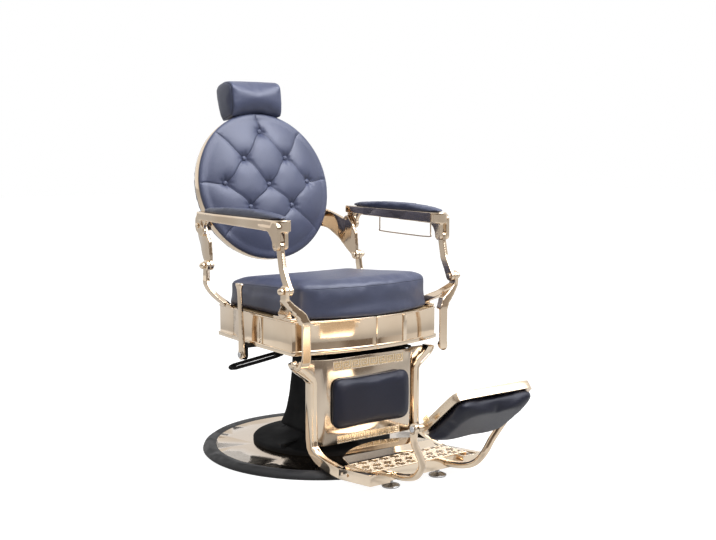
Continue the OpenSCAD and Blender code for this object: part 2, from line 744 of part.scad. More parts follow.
module arm_rail(side) color(metal_c) on_side(side) difference() {
  cheek = post_x0 - face_gap - link_t;
  roof = rail_top - rail_roof;
  cheek_y = arm_fy + 0.9 * boss_r;
  hook_y = knuckle_y - knuckle_r;
  union() {
    difference() {
      plan_plate(rail_z, rail_top) rail_plan(0);
      plan_plate(rail_z - over, roof) rail_plan(rail_wall);
      side_plate(0, 2 * arm_x)
        polygon([[cheek_y, rail_z - over], [rail_ry + over, rail_z - over],
                 [rail_ry + over, rail_z + rail_slope], [cheek_y, rail_z]]);
    }
    for (x = [cheek, post_x1 + face_gap])
      side_plate(x, x + link_t) {
        link2d([arm_fy, arm_fz], boss_r, [arm_fy + edge_r, roof - boss_r], 1.3 * boss_r);
        web2d(cheek_y, arm_fz - edge_r, 1.5 * rail_w);
      }
    // Knuckle outside the horn, hooked forward
    side_plate(rear_x0, rear_x1) {
      chain2d([[knuckle_y, roof - knuckle_r], [knuckle_y, arm_rz - edge_r], [hook_y, arm_rz - 1.6 * cap_r]],
              [1, 1, 0.9] * knuckle_r);
      web2d(hook_y - 0.7 * knuckle_r, arm_rz - 1.6 * cap_r, -1.1 * rail_w);
    }
  }
  cross_rod(0, 2 * arm_x, arm_fy, arm_fz, pin_r);
  cross_rod(0, 2 * arm_x, arm_ry, arm_rz, pin_r + run_gap);
}
module arm_rail_left() arm_rail(1);
module arm_rail_right() arm_rail(-1);

module arm_pin(side) color(metal_c) on_side(side)
  cross_rod(post_x0 - face_gap - link_t + head_t / 2, elbow_x1 - head_t / 2, arm_fy, arm_fz, pin_r);
module arm_pin_left() arm_pin(1);
module arm_pin_right() arm_pin(-1);

// Crowned pad on a squared oval, built up along Z
pad_round = 8;
module pad_form(w, d, h, power, count) {
  level_shares = [[0.4, 0], [0, 0.14], [0, 0.5], [0.3, 0.72], [1, 0.88], [2.4, 1], [3.6, 1.04]];
  shrink = min(1, min(w, d) / (8 * pad_round));
  skin([for (s = level_shares)
    let (inset = s[0] * pad_round * shrink)
      lifted(oval(w - 2 * inset, d - 2 * inset, power, count), s[1] * h)]);
}

arm_pad_set = 10;
arm_pad_fy = rail_fy + arm_pad_set;
arm_pad_ry = arm_ry - 2 * boss_r;

// Arm pad that follows the rail, thin at both ends and crowned in the middle
module arm_pad(side) color(leather_c) on_side(side) {
  half = (arm_pad_ry - arm_pad_fy) / 2;
  mid_y = arm_pad_fy + half;
  level_shares = [[0.5, 0], [0, 0.2], [0, 0.5], [0.4, 0.75], [1.2, 0.9], [2.4, 1], [3.4, 1.03]];
  skin([for (s = level_shares)
    let (inset = s[0] * edge_r)
      [for (p = oval(2, 2, 4, 40))
        let (y = mid_y + p[1] * (half - inset), t = mix(arm_pad_t, arm_pad_end_t, pow(p[1], 2)))
          [arm_x + p[0] * (rail_half(y) - inset), y, rail_top + soft_gap / 5 + s[1] * t]]]);
}
module arm_pad_left() arm_pad(1);
module arm_pad_right() arm_pad(-1);

// Wire towel rail under the sitter's left arm
towel_set = 153;   // of its rear end in front of the arm's rear pivot
towel_rear = arm_ry - towel_set;
towel_front = towel_rear - towel_len;
towel_r = 2.4;

module towel_rail() color(metal_c) {
  top = rail_top - rail_roof;
  low = rail_z - towel_drop;
  turn = 3 * towel_r;
  path = [[towel_rear, top], [towel_rear, rail_z], [towel_rear, low + turn], [towel_rear - turn, low],
          [(towel_rear + towel_front) / 2, low - towel_r], [towel_front + turn, low - towel_r],
          [towel_front, low + turn], [towel_front, rail_z], [towel_front, top]];
  p = smooth([for (q = path) [(post_x0 + post_x1) / 2, q[0], q[1]]], 3);
  skin(tube_rings(p, even(p, towel_r), even(p, towel_r), [1, 0, 0], 8));
}

// Back
shell_front = -18;
shell_rear = shell_front - shell_d;

// Put things in the back's own frame: +Y up along the back, +Z forward towards the sitter
module at_back() translate([0, back_y, back_z]) rotate([90 - back_lean, 0, 0]) children();

// Dish of the back shell, drawn in by its wall for the inside
corner_shares = [[5, 0, 0.4, 1], [2, 1, 0.8, 0.6], [0.5, 3, 0.95, 0.3], [0, 5, 1, 0]];
module dish(inset, top) rotate_extrude($fn = 128)
  polygon(concat([[0, shell_rear + inset]],
                 [for (s = corner_shares)
                   [back_r - s[0] * edge_r - s[2] * inset, shell_rear + s[1] * edge_r + s[3] * inset]],
                 [[back_r - inset, top], [0, top]]));
module shell_outer() dish(0, shell_front);

module back_shell() color(metal_c) at_back() difference() {
  union() {
    shell_outer();
    rotate_extrude($fn = 128) translate([back_r, shell_front - edge_r]) circle(r = edge_r / 2, $fn = 16);
  }
  dish(shell_wall, shell_front + over);
}

// Places of the buttons in steps of tuft_x and tuft_y
button_shares = [[0, 2.1], [-1, 1.02], [1, 1.02], [-2, 0.1], [0, 0], [2, 0.1], [-1, -0.84], [1, -0.84],
                 [0, -1.75]];
buttons = [for (b = button_shares) [b[0] * tuft_x, b[1] * tuft_y]];
pleats = [
  for (i = [0 : len(buttons) - 1])
    for (k = [i + 1 : len(buttons) - 1])
      let (v = buttons[k] - buttons[i])
        if (abs(v[0]) > 0 && norm(v) < 1.05 * norm([tuft_x, tuft_y])) [buttons[i], buttons[k]]
];
rim_pleats = [for (b = buttons) if (norm(b) > tuft_x) [b, unit(b) * back_r]];
function near(p, s) =
  let (v = s[1] - s[0], t = max(0, min(1, (p - s[0]) * v / (v * v)))) norm(p - s[0] - t * v);
function dent(d, reach) = exp(-(d / reach) * (d / reach));
dent_reach_share = 0.22;
pleat_reach_share = 0.1;
pleat_depth_share = 0.42;
function cushion_z(p, r) =
  let (
    dome = shell_front + back_crown * (1 - pow(norm(p) / r, 4)),
    deep = max([for (b = buttons) dent(norm(p - b), dent_reach_share * tuft_x)]),
    fold = max([for (s = concat(pleats, rim_pleats)) dent(near(p, s), pleat_reach_share * tuft_x)]),
    fade = 1 - pow(norm(p) / r, 8)
  ) dome - fade * (1 - pow(norm(p) / r, 2)) * tuft_depth * max(deep, pleat_depth_share * fold);

cushion_sides = 48;
pocket_sides = 10;
cushion_r = back_r - shell_wall - soft_gap;
module back_cushion() color(leather_c) at_back() {
  floor_z = shell_rear + shell_wall + soft_gap;
  rear_shares = [[0.93, 0], [0.975, 0.45], [1, 1]];
  rear_rings = [for (s = rear_shares)
    [for (k = [0 : cushion_sides - 1]) let (a = 360 * k / cushion_sides)
      [s[0] * cushion_r * cos(a), s[0] * cushion_r * sin(a), mix(floor_z, shell_front - edge_r, s[1])]]];
  front_shares = [0.985, 0.95, 0.9, 0.84, 0.77, 0.705, 0.64, 0.57, 0.5, 0.43, 0.36, 0.29, 0.22, 0.15, 0.09,
                  0.03];
  front_rings = [for (s = front_shares)
    [for (k = [0 : cushion_sides - 1])
      let (a = 360 * k / cushion_sides, p = s * cushion_r * [cos(a), sin(a)])
        [p[0], p[1], cushion_z(s < 0.05 ? [0, 0] : p, cushion_r)]]];
  difference() {
    skin(concat(rear_rings, front_rings));
    pocket_r = (button_r + soft_gap) / cos(180 / pocket_sides);
    for (b = buttons) translate([b[0], b[1], button_z(b) - soft_gap])
      cylinder(r = pocket_r, h = back_crown + tuft_depth, $fn = pocket_sides);
  }
}

function button_z(b) = cushion_z(b, cushion_r) - button_r / 4;

module back_buttons() color(leather_c) at_back() {
  for (b = buttons) translate([b[0], b[1], button_z(b)]) intersection() {
    translate([0, 0, -button_r / 2]) sphere(r = 1.2 * button_r, $fn = 24);
    cylinder(r = button_r, h = 2 * button_r, $fn = 24);
  }
}

horn_eye_r = 9.5;
horn_plan_shares = [[1, -0.2], [1, 0], [1, 0.1], [0.98, 0.3], [0.945, 0.49], [0.895, 0.75],
                    [0.83, 0.91], [0.72, 0.98], [0.6, 0.975], [0.45, 0.95]];
// Outline of the blade from its pivot up its front edge, back along its top and down its lower edge
horn_side_shares = [[-0.07, 0], [-0.06, 0.3], [-0.03, 0.62], [0.1, 0.8], [0.27, 0.94], [0.45, 1.06],
                    [0.63, 1.15], [0.93, 1.29], [1.12, 1.33], [1.12, 0.83], [1, 0.8], [0.75, 0.69],
                    [0.49, 0.46], [0.29, 0.18], [0.13, 0]];

module horn(side) color(metal_c) on_side(side) {
  x = (horn_x0 + horn_x1) / 2;
  reach = back_set + shell_d;
  rise = link_h;
  plan_curve = smooth([for (s = horn_plan_shares) [x * s[0], rear_y + s[1] * reach]], 3);
  plan_path = [for (p = plan_curve) [min(p[0], x), p[1]]];
  last = len(plan_path) - 1;
  blade = [for (s = horn_side_shares) [rear_y + s[0] * reach, rear_z + s[1] * rise]];
  difference() {
    union() {
      intersection() {
        plan_plate(rear_z - 2 * boss_r, rear_z + 2 * link_h)
          strip2d(plan_path, [for (i = [0 : last]) link_t * mix(0.5, 0.7, pow(i / last, 3))]);
        side_plate(0, 2 * arm_x) {
          polygon(blade);
          translate([rear_y, rear_z]) circle(r = 1.2 * boss_r);
          link2d(mix([rear_y, rear_z], [arm_ry, arm_rz], 0.75), 1.6 * boss_r, [arm_ry, arm_rz], horn_eye_r);
        }
      }
      cross_rod(x - link_t / 2, horn_x1, arm_ry, arm_rz, horn_eye_r);
    }
    at_back() shell_outer();
    cross_rod(0, 2 * arm_x, rear_y, rear_z, pin_r + run_gap);
    cross_rod(0, 2 * arm_x, arm_ry, arm_rz, pin_r);
  }
}
module horn_left() horn(1);
module horn_right() horn(-1);

module horn_pins() color(metal_c) both() {
  cross_rod(horn_x0, rear_x1 + face_gap + head_t / 2, arm_ry, arm_rz, pin_r);
  cross_rod(rear_x1 + face_gap, rear_x1 + face_gap + head_t, arm_ry, arm_rz, 0.8 * cap_r);
}

// Headrest
bar_flat_w = 26;
bar_flat_t = 8;
socket_wall = 6;
socket_len = headrest_travel + bar_flat_w;
bar_rear = shell_rear - socket_wall / 2 - bar_flat_t;
socket_top = back_r - 3 * edge_r;
pillow_gap = 3;
pillow_lap = 14;   // of the pillow's ends below the top of the shell
pillow_behind = 31;    // of the pillow behind the shell
pillow_low = back_r - pillow_lap;
pillow_rear = shell_rear - pillow_behind;
bar_top = pillow_low + 0.75 * pillow_h;

module headrest_socket() color(metal_c) at_back() difference() {
  translate([-bar_flat_w / 2 - socket_wall, socket_top - socket_len, bar_rear - socket_wall])
    cube([bar_flat_w + 2 * socket_wall, socket_len, shell_rear - bar_rear + socket_wall]);
  translate([-bar_flat_w / 2 - run_gap, socket_top - socket_len - over, bar_rear - run_gap])
    cube([bar_flat_w + 2 * run_gap, socket_len + 2 * over, bar_flat_t + 2 * run_gap]);
}

module headrest_bar() color(metal_c) at_back() {
  low = socket_top - socket_len;
  translate([-bar_flat_w / 2, low, bar_rear]) cube([bar_flat_w, bar_top - low, bar_flat_t]);
}

// Side view of the pillow from its front lower edge over the top, in shares of its height and depth
pillow_section_shares = [
  [0, 0.8], [0.12, 0.87], [0.34, 0.95], [0.77, 1], [0.88, 0.93], [0.95, 0.78], [1, 0.54], [1, 0.3],
  [0.98, 0.12], [0.9, 0.01], [0.54, 0], [0.14, 0.08], [0, 0.16], [0, 0.4], [0, 0.6]
];
saddle_share = 0.05;

module headrest_pillow() color(leather_c) at_back() difference() {
  half_shares = [[0.2, 1], [0.45, 1], [0.7, 1], [0.92, 1], [0.98, 0.98], [1, 0.92]];
  last = len(half_shares) - 1;
  stations_shares = concat([for (i = [last : -1 : 0]) [-half_shares[i][0], half_shares[i][1]]], half_shares);
  mid = [0.5, 0.5];
  skin([for (s = stations_shares)
    let (x = -s[0] * pillow_w / 2, low = sqrt(pow(back_r + pillow_gap, 2) - x * x),
         dip = saddle_share * (1 - s[0] * s[0]))
      [for (q = pillow_section_shares)
        let (e = mid + (q - mid) * s[1], y = pillow_low + pillow_h * (e[0] - dip * e[0]))
          [x, max(low, y), pillow_rear + pillow_d * e[1]]]]);
  // Pocket for the headrest bar
  translate([-bar_flat_w / 2 - soft_gap, 0, bar_rear - soft_gap])
    cube([bar_flat_w + 2 * soft_gap, bar_top + soft_gap, bar_flat_t + 2 * soft_gap]);
}

// Levers
droop_share = 0.22;

module pump_lever() color(black_c) at_pump() {
  r = pump_rod_r;
  half = pump_w / 2 - r;
  drop = droop_share * pump_len;
  neck = 0.2 * pump_len;
  loop_end = pump_len - half;
  arc = [for (a = [-90 : 22.5 : 90]) [loop_end + half * cos(a), half * sin(a)]];
  plan_pts = concat([[neck, -1.2 * r], [1.6 * neck, -half]], arc, [[1.6 * neck, half], [neck, 1.2 * r]]);
  p = smooth([for (q = plan_pts) [q[0], q[1], -drop * q[0] / pump_len]], 2);
  difference() {
    union() {
      skin(tube_rings(p, even(p, r), even(p, r), [0, 0, 1], 8));
      rotate([0, atan(droop_share), 0]) translate([0, -0.45 * lug_t, -0.8 * r])
        cube([1.15 * neck, 0.9 * lug_t, 1.6 * r]);
      translate([0, -lug_t / 2, 0]) rotate([-90, 0, 0]) cylinder(r = 0.72 * boss_r, h = lug_t);
    }
    translate([0, -lug_t, 0]) rotate([-90, 0, 0]) cylinder(r = pin_r + run_gap, h = 2 * lug_t);
  }
}

lever_y = 3;
lever_drop = 29;   // of the recline pivot below the band
lever_z = band_z - lever_drop;
lever_t = 12;
ear_t = 6;

module recline_lever() color(metal_c) translate([-recline_x, lever_y, lever_z]) difference() {
  // Height share, width and depth shares of a tapering bar with a flared top
  bar_shares = [[-0.04, 1.9, 0.9], [0, 2.4, 1], [0.1, 2.4, 1], [0.3, 2, 1], [0.5, 1.67, 0.95],
                [0.82, 1.6, 0.9], [0.92, 1.85, 1], [0.965, 2.6, 1.2], [0.985, 2.7, 1.3], [1, 2.5, 1.2]];
  union() {
    skin([for (s = bar_shares)
      [for (q = oval(lever_t * s[2], lever_t * s[1], 3, 20))
        [q[0], q[1] + lever_back * pow(max(0, s[0]), 1.5), s[0] * recline_len]]]);
    cross_rod(-lever_t / 2, lever_t / 2, 0, 0, 1.1 * boss_r);
  }
  cross_rod(-lever_t, lever_t, 0, 0, pin_r + run_gap);
}

module lever_bracket() color(black_c) {
  ear_x = -recline_x + lever_t / 2 + face_gap;
  difference() {
    union() {
      translate([ear_x, lever_y, lever_z]) rotate([0, 90, 0]) cylinder(r = 1.2 * boss_r, h = ear_t);
      translate([ear_x, lever_y - 2 * boss_r, band_z - ear_t])
        cube([-ear_x - chassis_x + channel_w / 2 - web_t, 4 * boss_r, ear_t]);
      translate([ear_x, lever_y - 1.2 * boss_r, lever_z])
        cube([ear_t, 2.4 * boss_r, lever_drop]);
    }
    cross_rod(2 * ear_x, 0, lever_y, lever_z, pin_r);
  }
}

module lever_pins() color(steel_c) {
  out = -recline_x - lever_t / 2 - head_t;
  cross_rod(out + face_gap / 2, -recline_x + lever_t / 2 + face_gap + ear_t, lever_y, lever_z, pin_r);
  cross_rod(out - face_gap, out + head_t - face_gap, lever_y, lever_z, cap_r * 0.8);
  at_pump() translate([0, -1.5 * lug_t - face_gap, 0]) rotate([-90, 0, 0])
    cylinder(r = pin_r, h = 3 * lug_t + 2 * face_gap);
}

// Footrest
panel_y = -panel_out;
wing_set = 19;     // of the panel's wings behind its flat middle
wing_y = panel_y + wing_set;
panel_back = -panel_y - panel_t - band_front;
flat_x = calf_w / 2 + edge_r;
wing_x = post_x - post_w / 2;
flare = 42;
flare_h = 65;
flare_z = panel_top - flare_h;
flare_steps = 6;
function flare_at(i) =
  [flare * (1 - cos(180 * i / flare_steps)) / 2, mix(flare_z, panel_top, i / flare_steps)];

module footrest_panel() color(metal_c) {
  edge = [for (i = [0 : flare_steps]) [wing_x, 0] + flare_at(i)];
  top_x = wing_x + flare;
  intersection() {
    front_plate(2 * panel_y, 0)
      polygon(concat([[wing_x, panel_low]], edge,
                     [for (i = [flare_steps : -1 : 0]) [-edge[i][0], edge[i][1]]], [[-wing_x, panel_low]]));
    plan_plate(0, 2 * panel_top)
      polygon([[-top_x, wing_y], [-wing_x, wing_y], [-flat_x, panel_y], [flat_x, panel_y], [wing_x, wing_y],
               [top_x, wing_y], [top_x, wing_y + panel_t], [wing_x - panel_t / 2, wing_y + panel_t],
               [flat_x - panel_t / 2, panel_y + panel_t], [-flat_x + panel_t / 2, panel_y + panel_t],
               [-wing_x + panel_t / 2, wing_y + panel_t], [-top_x, wing_y + panel_t]]);
  }
}

plate_rear = -footplate_front + footplate_len - wing_set;
plate_low = 20;
plate_h = 30;
plate_rise = 14;
post_y = wing_y + panel_t / 2;

post_flare_share = 1.36;
bend_rise = 20;    // of the bend in the posts above the panel's lower edge

module footrest_post(side) color(metal_c) on_side(side) difference() {
  flare_path = [for (i = [0 : flare_steps]) [post_x + post_flare_share * flare_at(i)[0], flare_at(i)[1]]];
  foot_mid = plate_low + plate_h / 2;
  corner = [post_y, panel_low + bend_rise];
  bend_shares = [[0.12, 0.55], [0.36, 0.82], [0.7, 0.95], [1, 1]];
  side_path = smooth(concat([[post_y, panel_top], [post_y, flare_z], corner],
                            [for (s = bend_shares) between(corner, [plate_rear, foot_mid], s)]), 3);
  intersection() {
    front_plate(2 * panel_y, 0)
      strip2d(concat([[post_x, 0]], flare_path),
              post_w * concat([0.5], [for (i = [0 : flare_steps]) mix(0.5, 0.62, i / flare_steps)]));
    side_plate(0, 2 * arm_x) strip2d(side_path, even(side_path, post_d / 2));
  }
  front_bracket_solid();
  footrest_panel();
  translate([0, plate_rear - post_d, 0]) cube([arm_x, post_d, panel_low]);
}
module footrest_post_left() footrest_post(1);
module footrest_post_right() footrest_post(-1);

calf_rise = 40;    // of the calf pad above the panel's lower edge

module calf_pad() color(navy_c)
  translate([0, panel_y - soft_gap / 2, panel_low + calf_rise + calf_h / 2]) rotate([90, 0, 0])
    pad_form(calf_w, calf_h, calf_t, 7, 40);

skin_t = 6;
recess_x = 127;
recess_y = 30;
apron_half = 155;
apron_len = 34;    // at the ends of the apron

front_top = plate_low + plate_rise + plate_h - skin_t / 2;
rear_top = plate_low + plate_h + edge_r;
function tread_z(y) = mix(front_top, rear_top, (y + footplate_front) / (plate_rear + footplate_front));

module footplate() color(metal_c) {
  side_x = post_x - post_w / 2;
  front = -footplate_front;
  apron_y = plate_rear - skin_t;
  profile = [[front, plate_low + plate_rise], [front, plate_low + plate_rise + plate_h],
             [plate_rear, plate_low + plate_h], [plate_rear, plate_low]];
  tread = [[front, front_top], [plate_rear, rear_top], [plate_rear, rear_top - skin_t],
           [front, front_top - skin_t]];
  // Side view of the apron from the tread up to its bowed rear edge
  rear = plate_rear + apron_len + apron_bow;
  apron_shares = [[0.16, 0.12], [0.38, 0.58], [0.66, 0.88], [1, 1]];
  apron_line = [for (s = apron_shares) between([plate_rear, rear_top], [rear, apron_top], s)];
  last = len(apron_line) - 1;
  apron_r = (pow(apron_half, 2) + pow(apron_bow, 2)) / (2 * apron_bow);
  difference() {
    union() {
      both() side_plate(side_x, side_x + post_w) polygon(profile);
      side_plate(-side_x, side_x) polygon(tread);
      intersection() {
        side_plate(-apron_half, apron_half)
          polygon(concat([[apron_y, rear_top - edge_r], [plate_rear, rear_top]], apron_line,
                         [for (i = [last : -1 : 0]) apron_line[i] - [0, skin_t]],
                         [[plate_rear, rear_top - skin_t], [apron_y, rear_top - skin_t]]));
        translate([0, rear - apron_r, 0]) cylinder(r = apron_r, h = 2 * panel_low, $fn = 180);
      }
      // Front lip
      translate([-side_x, front, plate_low + plate_rise]) cube([2 * side_x, skin_t, plate_h - skin_t / 2]);
      translate([-recess_x - skin_t, front + recess_y, plate_low + plate_rise / 2])
        cube([2 * (recess_x + skin_t), skin_t, plate_h]);
      both() translate([recess_x, front, plate_low + plate_rise])
        cube([skin_t, recess_y + skin_t, plate_h - skin_t / 2]);
    }
    // Recess in the front edge between the arm roots
    translate([-recess_x, front - over, 0]) cube([2 * recess_x, recess_y + over, panel_low]);
    both() translate([glide_x, -glide_out, 0]) cylinder(r = glide_stem_r, h = stem_top);
  }
}

glide_x = 82;
glide_out = 449;
glide_r = 25;
glide_stem_r = 6;
glide_lift = 1;
stem_top = tread_z(-glide_out) - skin_t / 2;

module foot_glides() color(steel_c) both() translate([glide_x, -glide_out, 0]) {
  rotate_extrude()
    polygon([[0, glide_lift], [0.96 * glide_r, glide_lift], [glide_r, glide_lift + glide_h / 3],
             [glide_r, 0.75 * glide_h], [0.8 * glide_r, glide_h], [1.6 * glide_stem_r, glide_h + edge_r],
             [glide_stem_r, glide_h + edge_r], [glide_stem_r, stem_top], [0, stem_top]]);
}

// Swan-neck arms of the leg pad
neck_root = [recess_x - 3.5 * neck_r, -footplate_front + recess_y, plate_low + plate_rise + plate_h / 4];
neck_x = tray_w / 2 + 2.4 * neck_r;
neck_shares = [[0, 0, 0], [0.07, 0.28, 0.03], [0.08, 0.53, 0.09], [0.16, 0.7, 0.18], [0.26, 0.85, 0.36],
               [0.54, 0.9, 0.56], [0.885, 0.95, 0.75], [1.05, 1, 0.88], [1, 1, 1]];
eye_t = 12;

module swan_neck(side) color(metal_c) on_side(side) difference() {
  pivot = [neck_x, -tray_out, tray_z];
  p = smooth([for (s = neck_shares)
    [for (i = [0 : 2]) mix(neck_root[i], pivot[i], s[i])]], 3);
  union() {
    skin(tube_rings(p, even(p, neck_r), even(p, neck_r), [1, 0, 0], 12));
    cross_rod(neck_x - eye_t / 2, neck_x + eye_t / 2, -tray_out, tray_z, 1.1 * boss_r);
  }
  cross_rod(0, 2 * neck_x, -tray_out, tray_z, pin_r);
  // Flat seats against the recess of the footplate
  translate([0, neck_root[1], 0]) cube([arm_x, footplate_len, panel_low]);
  // Faces of the eye for the tray's boss and the pin's head
  cross_rod(0, neck_x - eye_t / 2, -tray_out, tray_z, boss_r);
  cross_rod(neck_x + eye_t / 2, 2 * neck_x, -tray_out, tray_z, cap_r);
}
module swan_neck_left() swan_neck(1);
module swan_neck_right() swan_neck(-1);

module tray_pins() color(steel_c) both() {
  cross_rod(tray_w / 2 - tray_edge, neck_x + eye_t / 2, -tray_out, tray_z, pin_r);
  cross_rod(neck_x + eye_t / 2, neck_x + eye_t / 2 + head_t, -tray_out, tray_z, cap_r * 0.8);
}

// Put things in the leg pad's own frame: +Y along the tray away from its hinge
module at_tray() translate([0, -tray_out, tray_z]) rotate([tray_tilt, 0, 180]) children();
tray_t = 22;
tray_top = 8;      // of the frame above its hinge line
tray_edge = 8;
tray_floor = 4;
tray_pad_t = 24;   // of the pad beyond the frame

module tray_frame() color(metal_c) at_tray() difference() {
  mid = (tray_len - tray_heel) / 2;
  d = tray_len + tray_heel;
  union() {
    translate([0, mid, tray_top - tray_t]) linear_extrude(tray_t) polygon(oval(tray_w, d, 12, 48));
    both() cross_rod(tray_w / 2 - tray_edge, neck_x - eye_t / 2 - face_gap, 0, 0, 0.8 * boss_r);
  }
  translate([0, mid, tray_top - tray_t - over]) linear_extrude(tray_t - tray_floor + over)
    polygon(oval(tray_w - 2 * tray_edge, d - 2 * tray_edge, 8, 48));
  cross_rod(-tray_w, tray_w, 0, 0, pin_r + run_gap);
}

// The pad covers the open underside of the frame
module tray_pad() color(navy_c) at_tray()
  translate([0, (tray_len - tray_heel) / 2, tray_top - tray_t - soft_gap / 2]) mirror([0, 0, 1])
    pad_form(tray_w - 2 * soft_gap, tray_len + tray_heel - 2 * soft_gap, tray_pad_t, 9, 40);

base_rim();
base_plate();
base_disc();
foot_flange();
column_cover();
pump_sleeve();
sleeve_bush();
ram();
pump_head();
chassis();
seat_board();
band_left();
band_right();
rear_cover();
band_straps();
seat_cushion();
front_bracket_left();
front_bracket_right();
rear_bracket_left();
rear_bracket_right();
elbow_pins();
rear_pins();
lever_bracket();
lever_pins();
footrest_panel();
footrest_post_left();
footrest_post_right();
calf_pad();
footplate();
foot_glides();
swan_neck_left();
swan_neck_right();
tray_pins();
post_left();
post_right();
arm_rail_left();
arm_rail_right();
arm_pad_left();
arm_pad_right();
arm_pin_left();
arm_pin_right();
towel_rail();
back_shell();
back_cushion();
back_buttons();
horn_left();
horn_right();
horn_pins();
headrest_socket();
headrest_bar();
headrest_pillow();
pump_lever();
recline_lever();
tray_frame();
tray_pad();
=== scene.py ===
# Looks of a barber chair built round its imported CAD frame
import math
import bpy
import numpy as np
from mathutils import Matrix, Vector
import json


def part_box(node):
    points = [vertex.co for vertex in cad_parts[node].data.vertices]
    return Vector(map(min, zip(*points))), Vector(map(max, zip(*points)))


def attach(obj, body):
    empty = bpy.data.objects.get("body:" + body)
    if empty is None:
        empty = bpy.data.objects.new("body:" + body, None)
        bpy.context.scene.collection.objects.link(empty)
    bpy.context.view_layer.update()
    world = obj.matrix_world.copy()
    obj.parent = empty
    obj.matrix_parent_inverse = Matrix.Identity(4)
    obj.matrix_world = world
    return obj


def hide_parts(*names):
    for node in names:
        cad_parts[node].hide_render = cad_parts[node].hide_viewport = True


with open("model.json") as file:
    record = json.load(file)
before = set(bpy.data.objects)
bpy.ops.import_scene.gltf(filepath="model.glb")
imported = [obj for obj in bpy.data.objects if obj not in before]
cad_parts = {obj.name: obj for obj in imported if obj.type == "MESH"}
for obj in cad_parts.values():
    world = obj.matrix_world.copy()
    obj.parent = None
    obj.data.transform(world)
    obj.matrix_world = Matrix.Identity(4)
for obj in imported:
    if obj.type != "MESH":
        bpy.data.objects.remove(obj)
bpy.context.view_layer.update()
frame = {"nodes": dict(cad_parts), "record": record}
record = frame["record"]
bodyOf = {node: body for body, nodes in record["behaviour"]["bodies"].items() for node in nodes}
slotOf = {part["node"]: part["material_slot"] for part in record["subparts"]}
print("frame loaded:", len(bodyOf), "nodes")


# Shader building: a Wire is a node's output, and sums with it add Math nodes
class Wire:
    def __init__(self, nodes, socket):
        self.nodes, self.socket = nodes, socket

    def sum(self, operation, first, second):
        return self.nodes.node("Math", {"operation": operation}, {0: first, 1: second})

    def __add__(self, other):
        return self.sum("ADD", self, other)

    def __rsub__(self, other):
        return self.sum("SUBTRACT", other, self)

    def __mul__(self, other):
        return self.sum("MULTIPLY", self, other)

    def __abs__(self):
        return self.nodes.node("Math", {"operation": "ABSOLUTE"}, {0: self})

    __radd__ = __add__


class Nodes:
    def __init__(self, tree):
        self.tree = tree

    def node(self, kind, settings=None, values=None, output=0):
        made = self.tree.nodes.new("ShaderNode" + kind)
        for name, value in (settings or {}).items():
            setattr(made, name, value)
        for name, value in (values or {}).items():
            self.plug(made.inputs[name], value)
        return Wire(self, made.outputs[output])

    def plug(self, socket, value):
        if isinstance(value, Wire):
            self.tree.links.new(value.socket, socket)
        elif hasattr(value, "__len__") and len(value) == 3 and socket.type == "RGBA":
            socket.default_value = (*value, 1)
        else:
            socket.default_value = value

    def place(self):
        return self.node("TexCoord", output="Object")

    def noise(self, scale, detail=2, rough=0.5, at=None):
        return self.node("TexNoise", None, {"Vector": at or self.place(), "Scale": scale, "Detail": detail,
                                            "Roughness": rough})

    def ranged(self, value, low, high, toLow=0.0, toHigh=1.0):
        return self.node("MapRange", None, {"Value": value, "From Min": low, "From Max": high,
                                            "To Min": toLow, "To Max": toHigh})

    def mixed(self, share, first, second):
        return self.node("Mix", {"data_type": "RGBA"}, {0: share, 6: first, 7: second}, 2)

    def clouded(self, cloud, look, low=0.3, high=0.7):
        return self.mixed(self.ranged(cloud, low, high), look["deep"], look["pale"])

    def worn(self, low, high):
        return self.ranged(self.node("NewGeometry", output="Pointiness"), low, high)

    def bump(self, height, strength, distance, under=None):
        values = {"Height": height, "Strength": strength, "Distance": distance}
        if under:
            values["Normal"] = under
        return self.node("Bump", None, values)


class Finish(Nodes):
    def __init__(self, name):
        self.material = bpy.data.materials.new(name)
        self.material.use_nodes = True
        super().__init__(self.material.node_tree)
        self.shader = self.tree.nodes["Principled BSDF"]

    def surface(self, **values):
        for name, value in values.items():
            self.plug(self.shader.inputs[name.replace("_", " ")], value)
        return self.material


def plating(name, look):
    f = Finish(name)
    cloud = f.noise(look["cloudScale"], detail=3)
    streak = f.noise(look["streakScale"], detail=4, rough=0.6)
    colour = f.mixed(f.worn(0.52, 0.6) * look["wear"], f.clouded(cloud, look), look["edge"])
    ripple = f.noise(look["rippleScale"], detail=1)
    return f.surface(Base_Color=colour, Metallic=1.0,
                     Roughness=look["rough"] + f.ranged(streak, 0.35, 0.75) * look["roughSpread"],
                     Normal=f.bump(ripple, look["ripple"], distance=0.001))


def paint(name, look):
    f = Finish(name)
    cloud = f.noise(look["cloudScale"], detail=3)
    grain = f.noise(look["grainScale"], detail=2, rough=0.6)
    colour = f.mixed(f.worn(0.53, 0.62) * look["wear"], f.clouded(cloud, look), look["edge"])
    return f.surface(Base_Color=colour,
                     Roughness=look["rough"] + f.ranged(cloud, 0.3, 0.8) * look["roughSpread"],
                     Normal=f.bump(grain, look["grain"], distance=0.0004),
                     Coat_Weight=f.ranged(cloud, 0.2, 0.8, look["coat"] * 0.7, look["coat"]),
                     Coat_Roughness=0.12, Specular_IOR_Level=look["gloss"])


def ply(name, look):
    f = Finish(name)
    stretched = f.node("Mapping", None, {"Vector": f.place(), "Scale": look["stretch"]})
    grain = f.noise(look["grainScale"], detail=5, rough=0.6, at=stretched)
    return f.surface(Base_Color=f.clouded(grain, look, 0.35, 0.65),
                     Roughness=look["rough"] + grain * look["roughSpread"],
                     Normal=f.bump(grain, look["grain"], distance=0.0005))


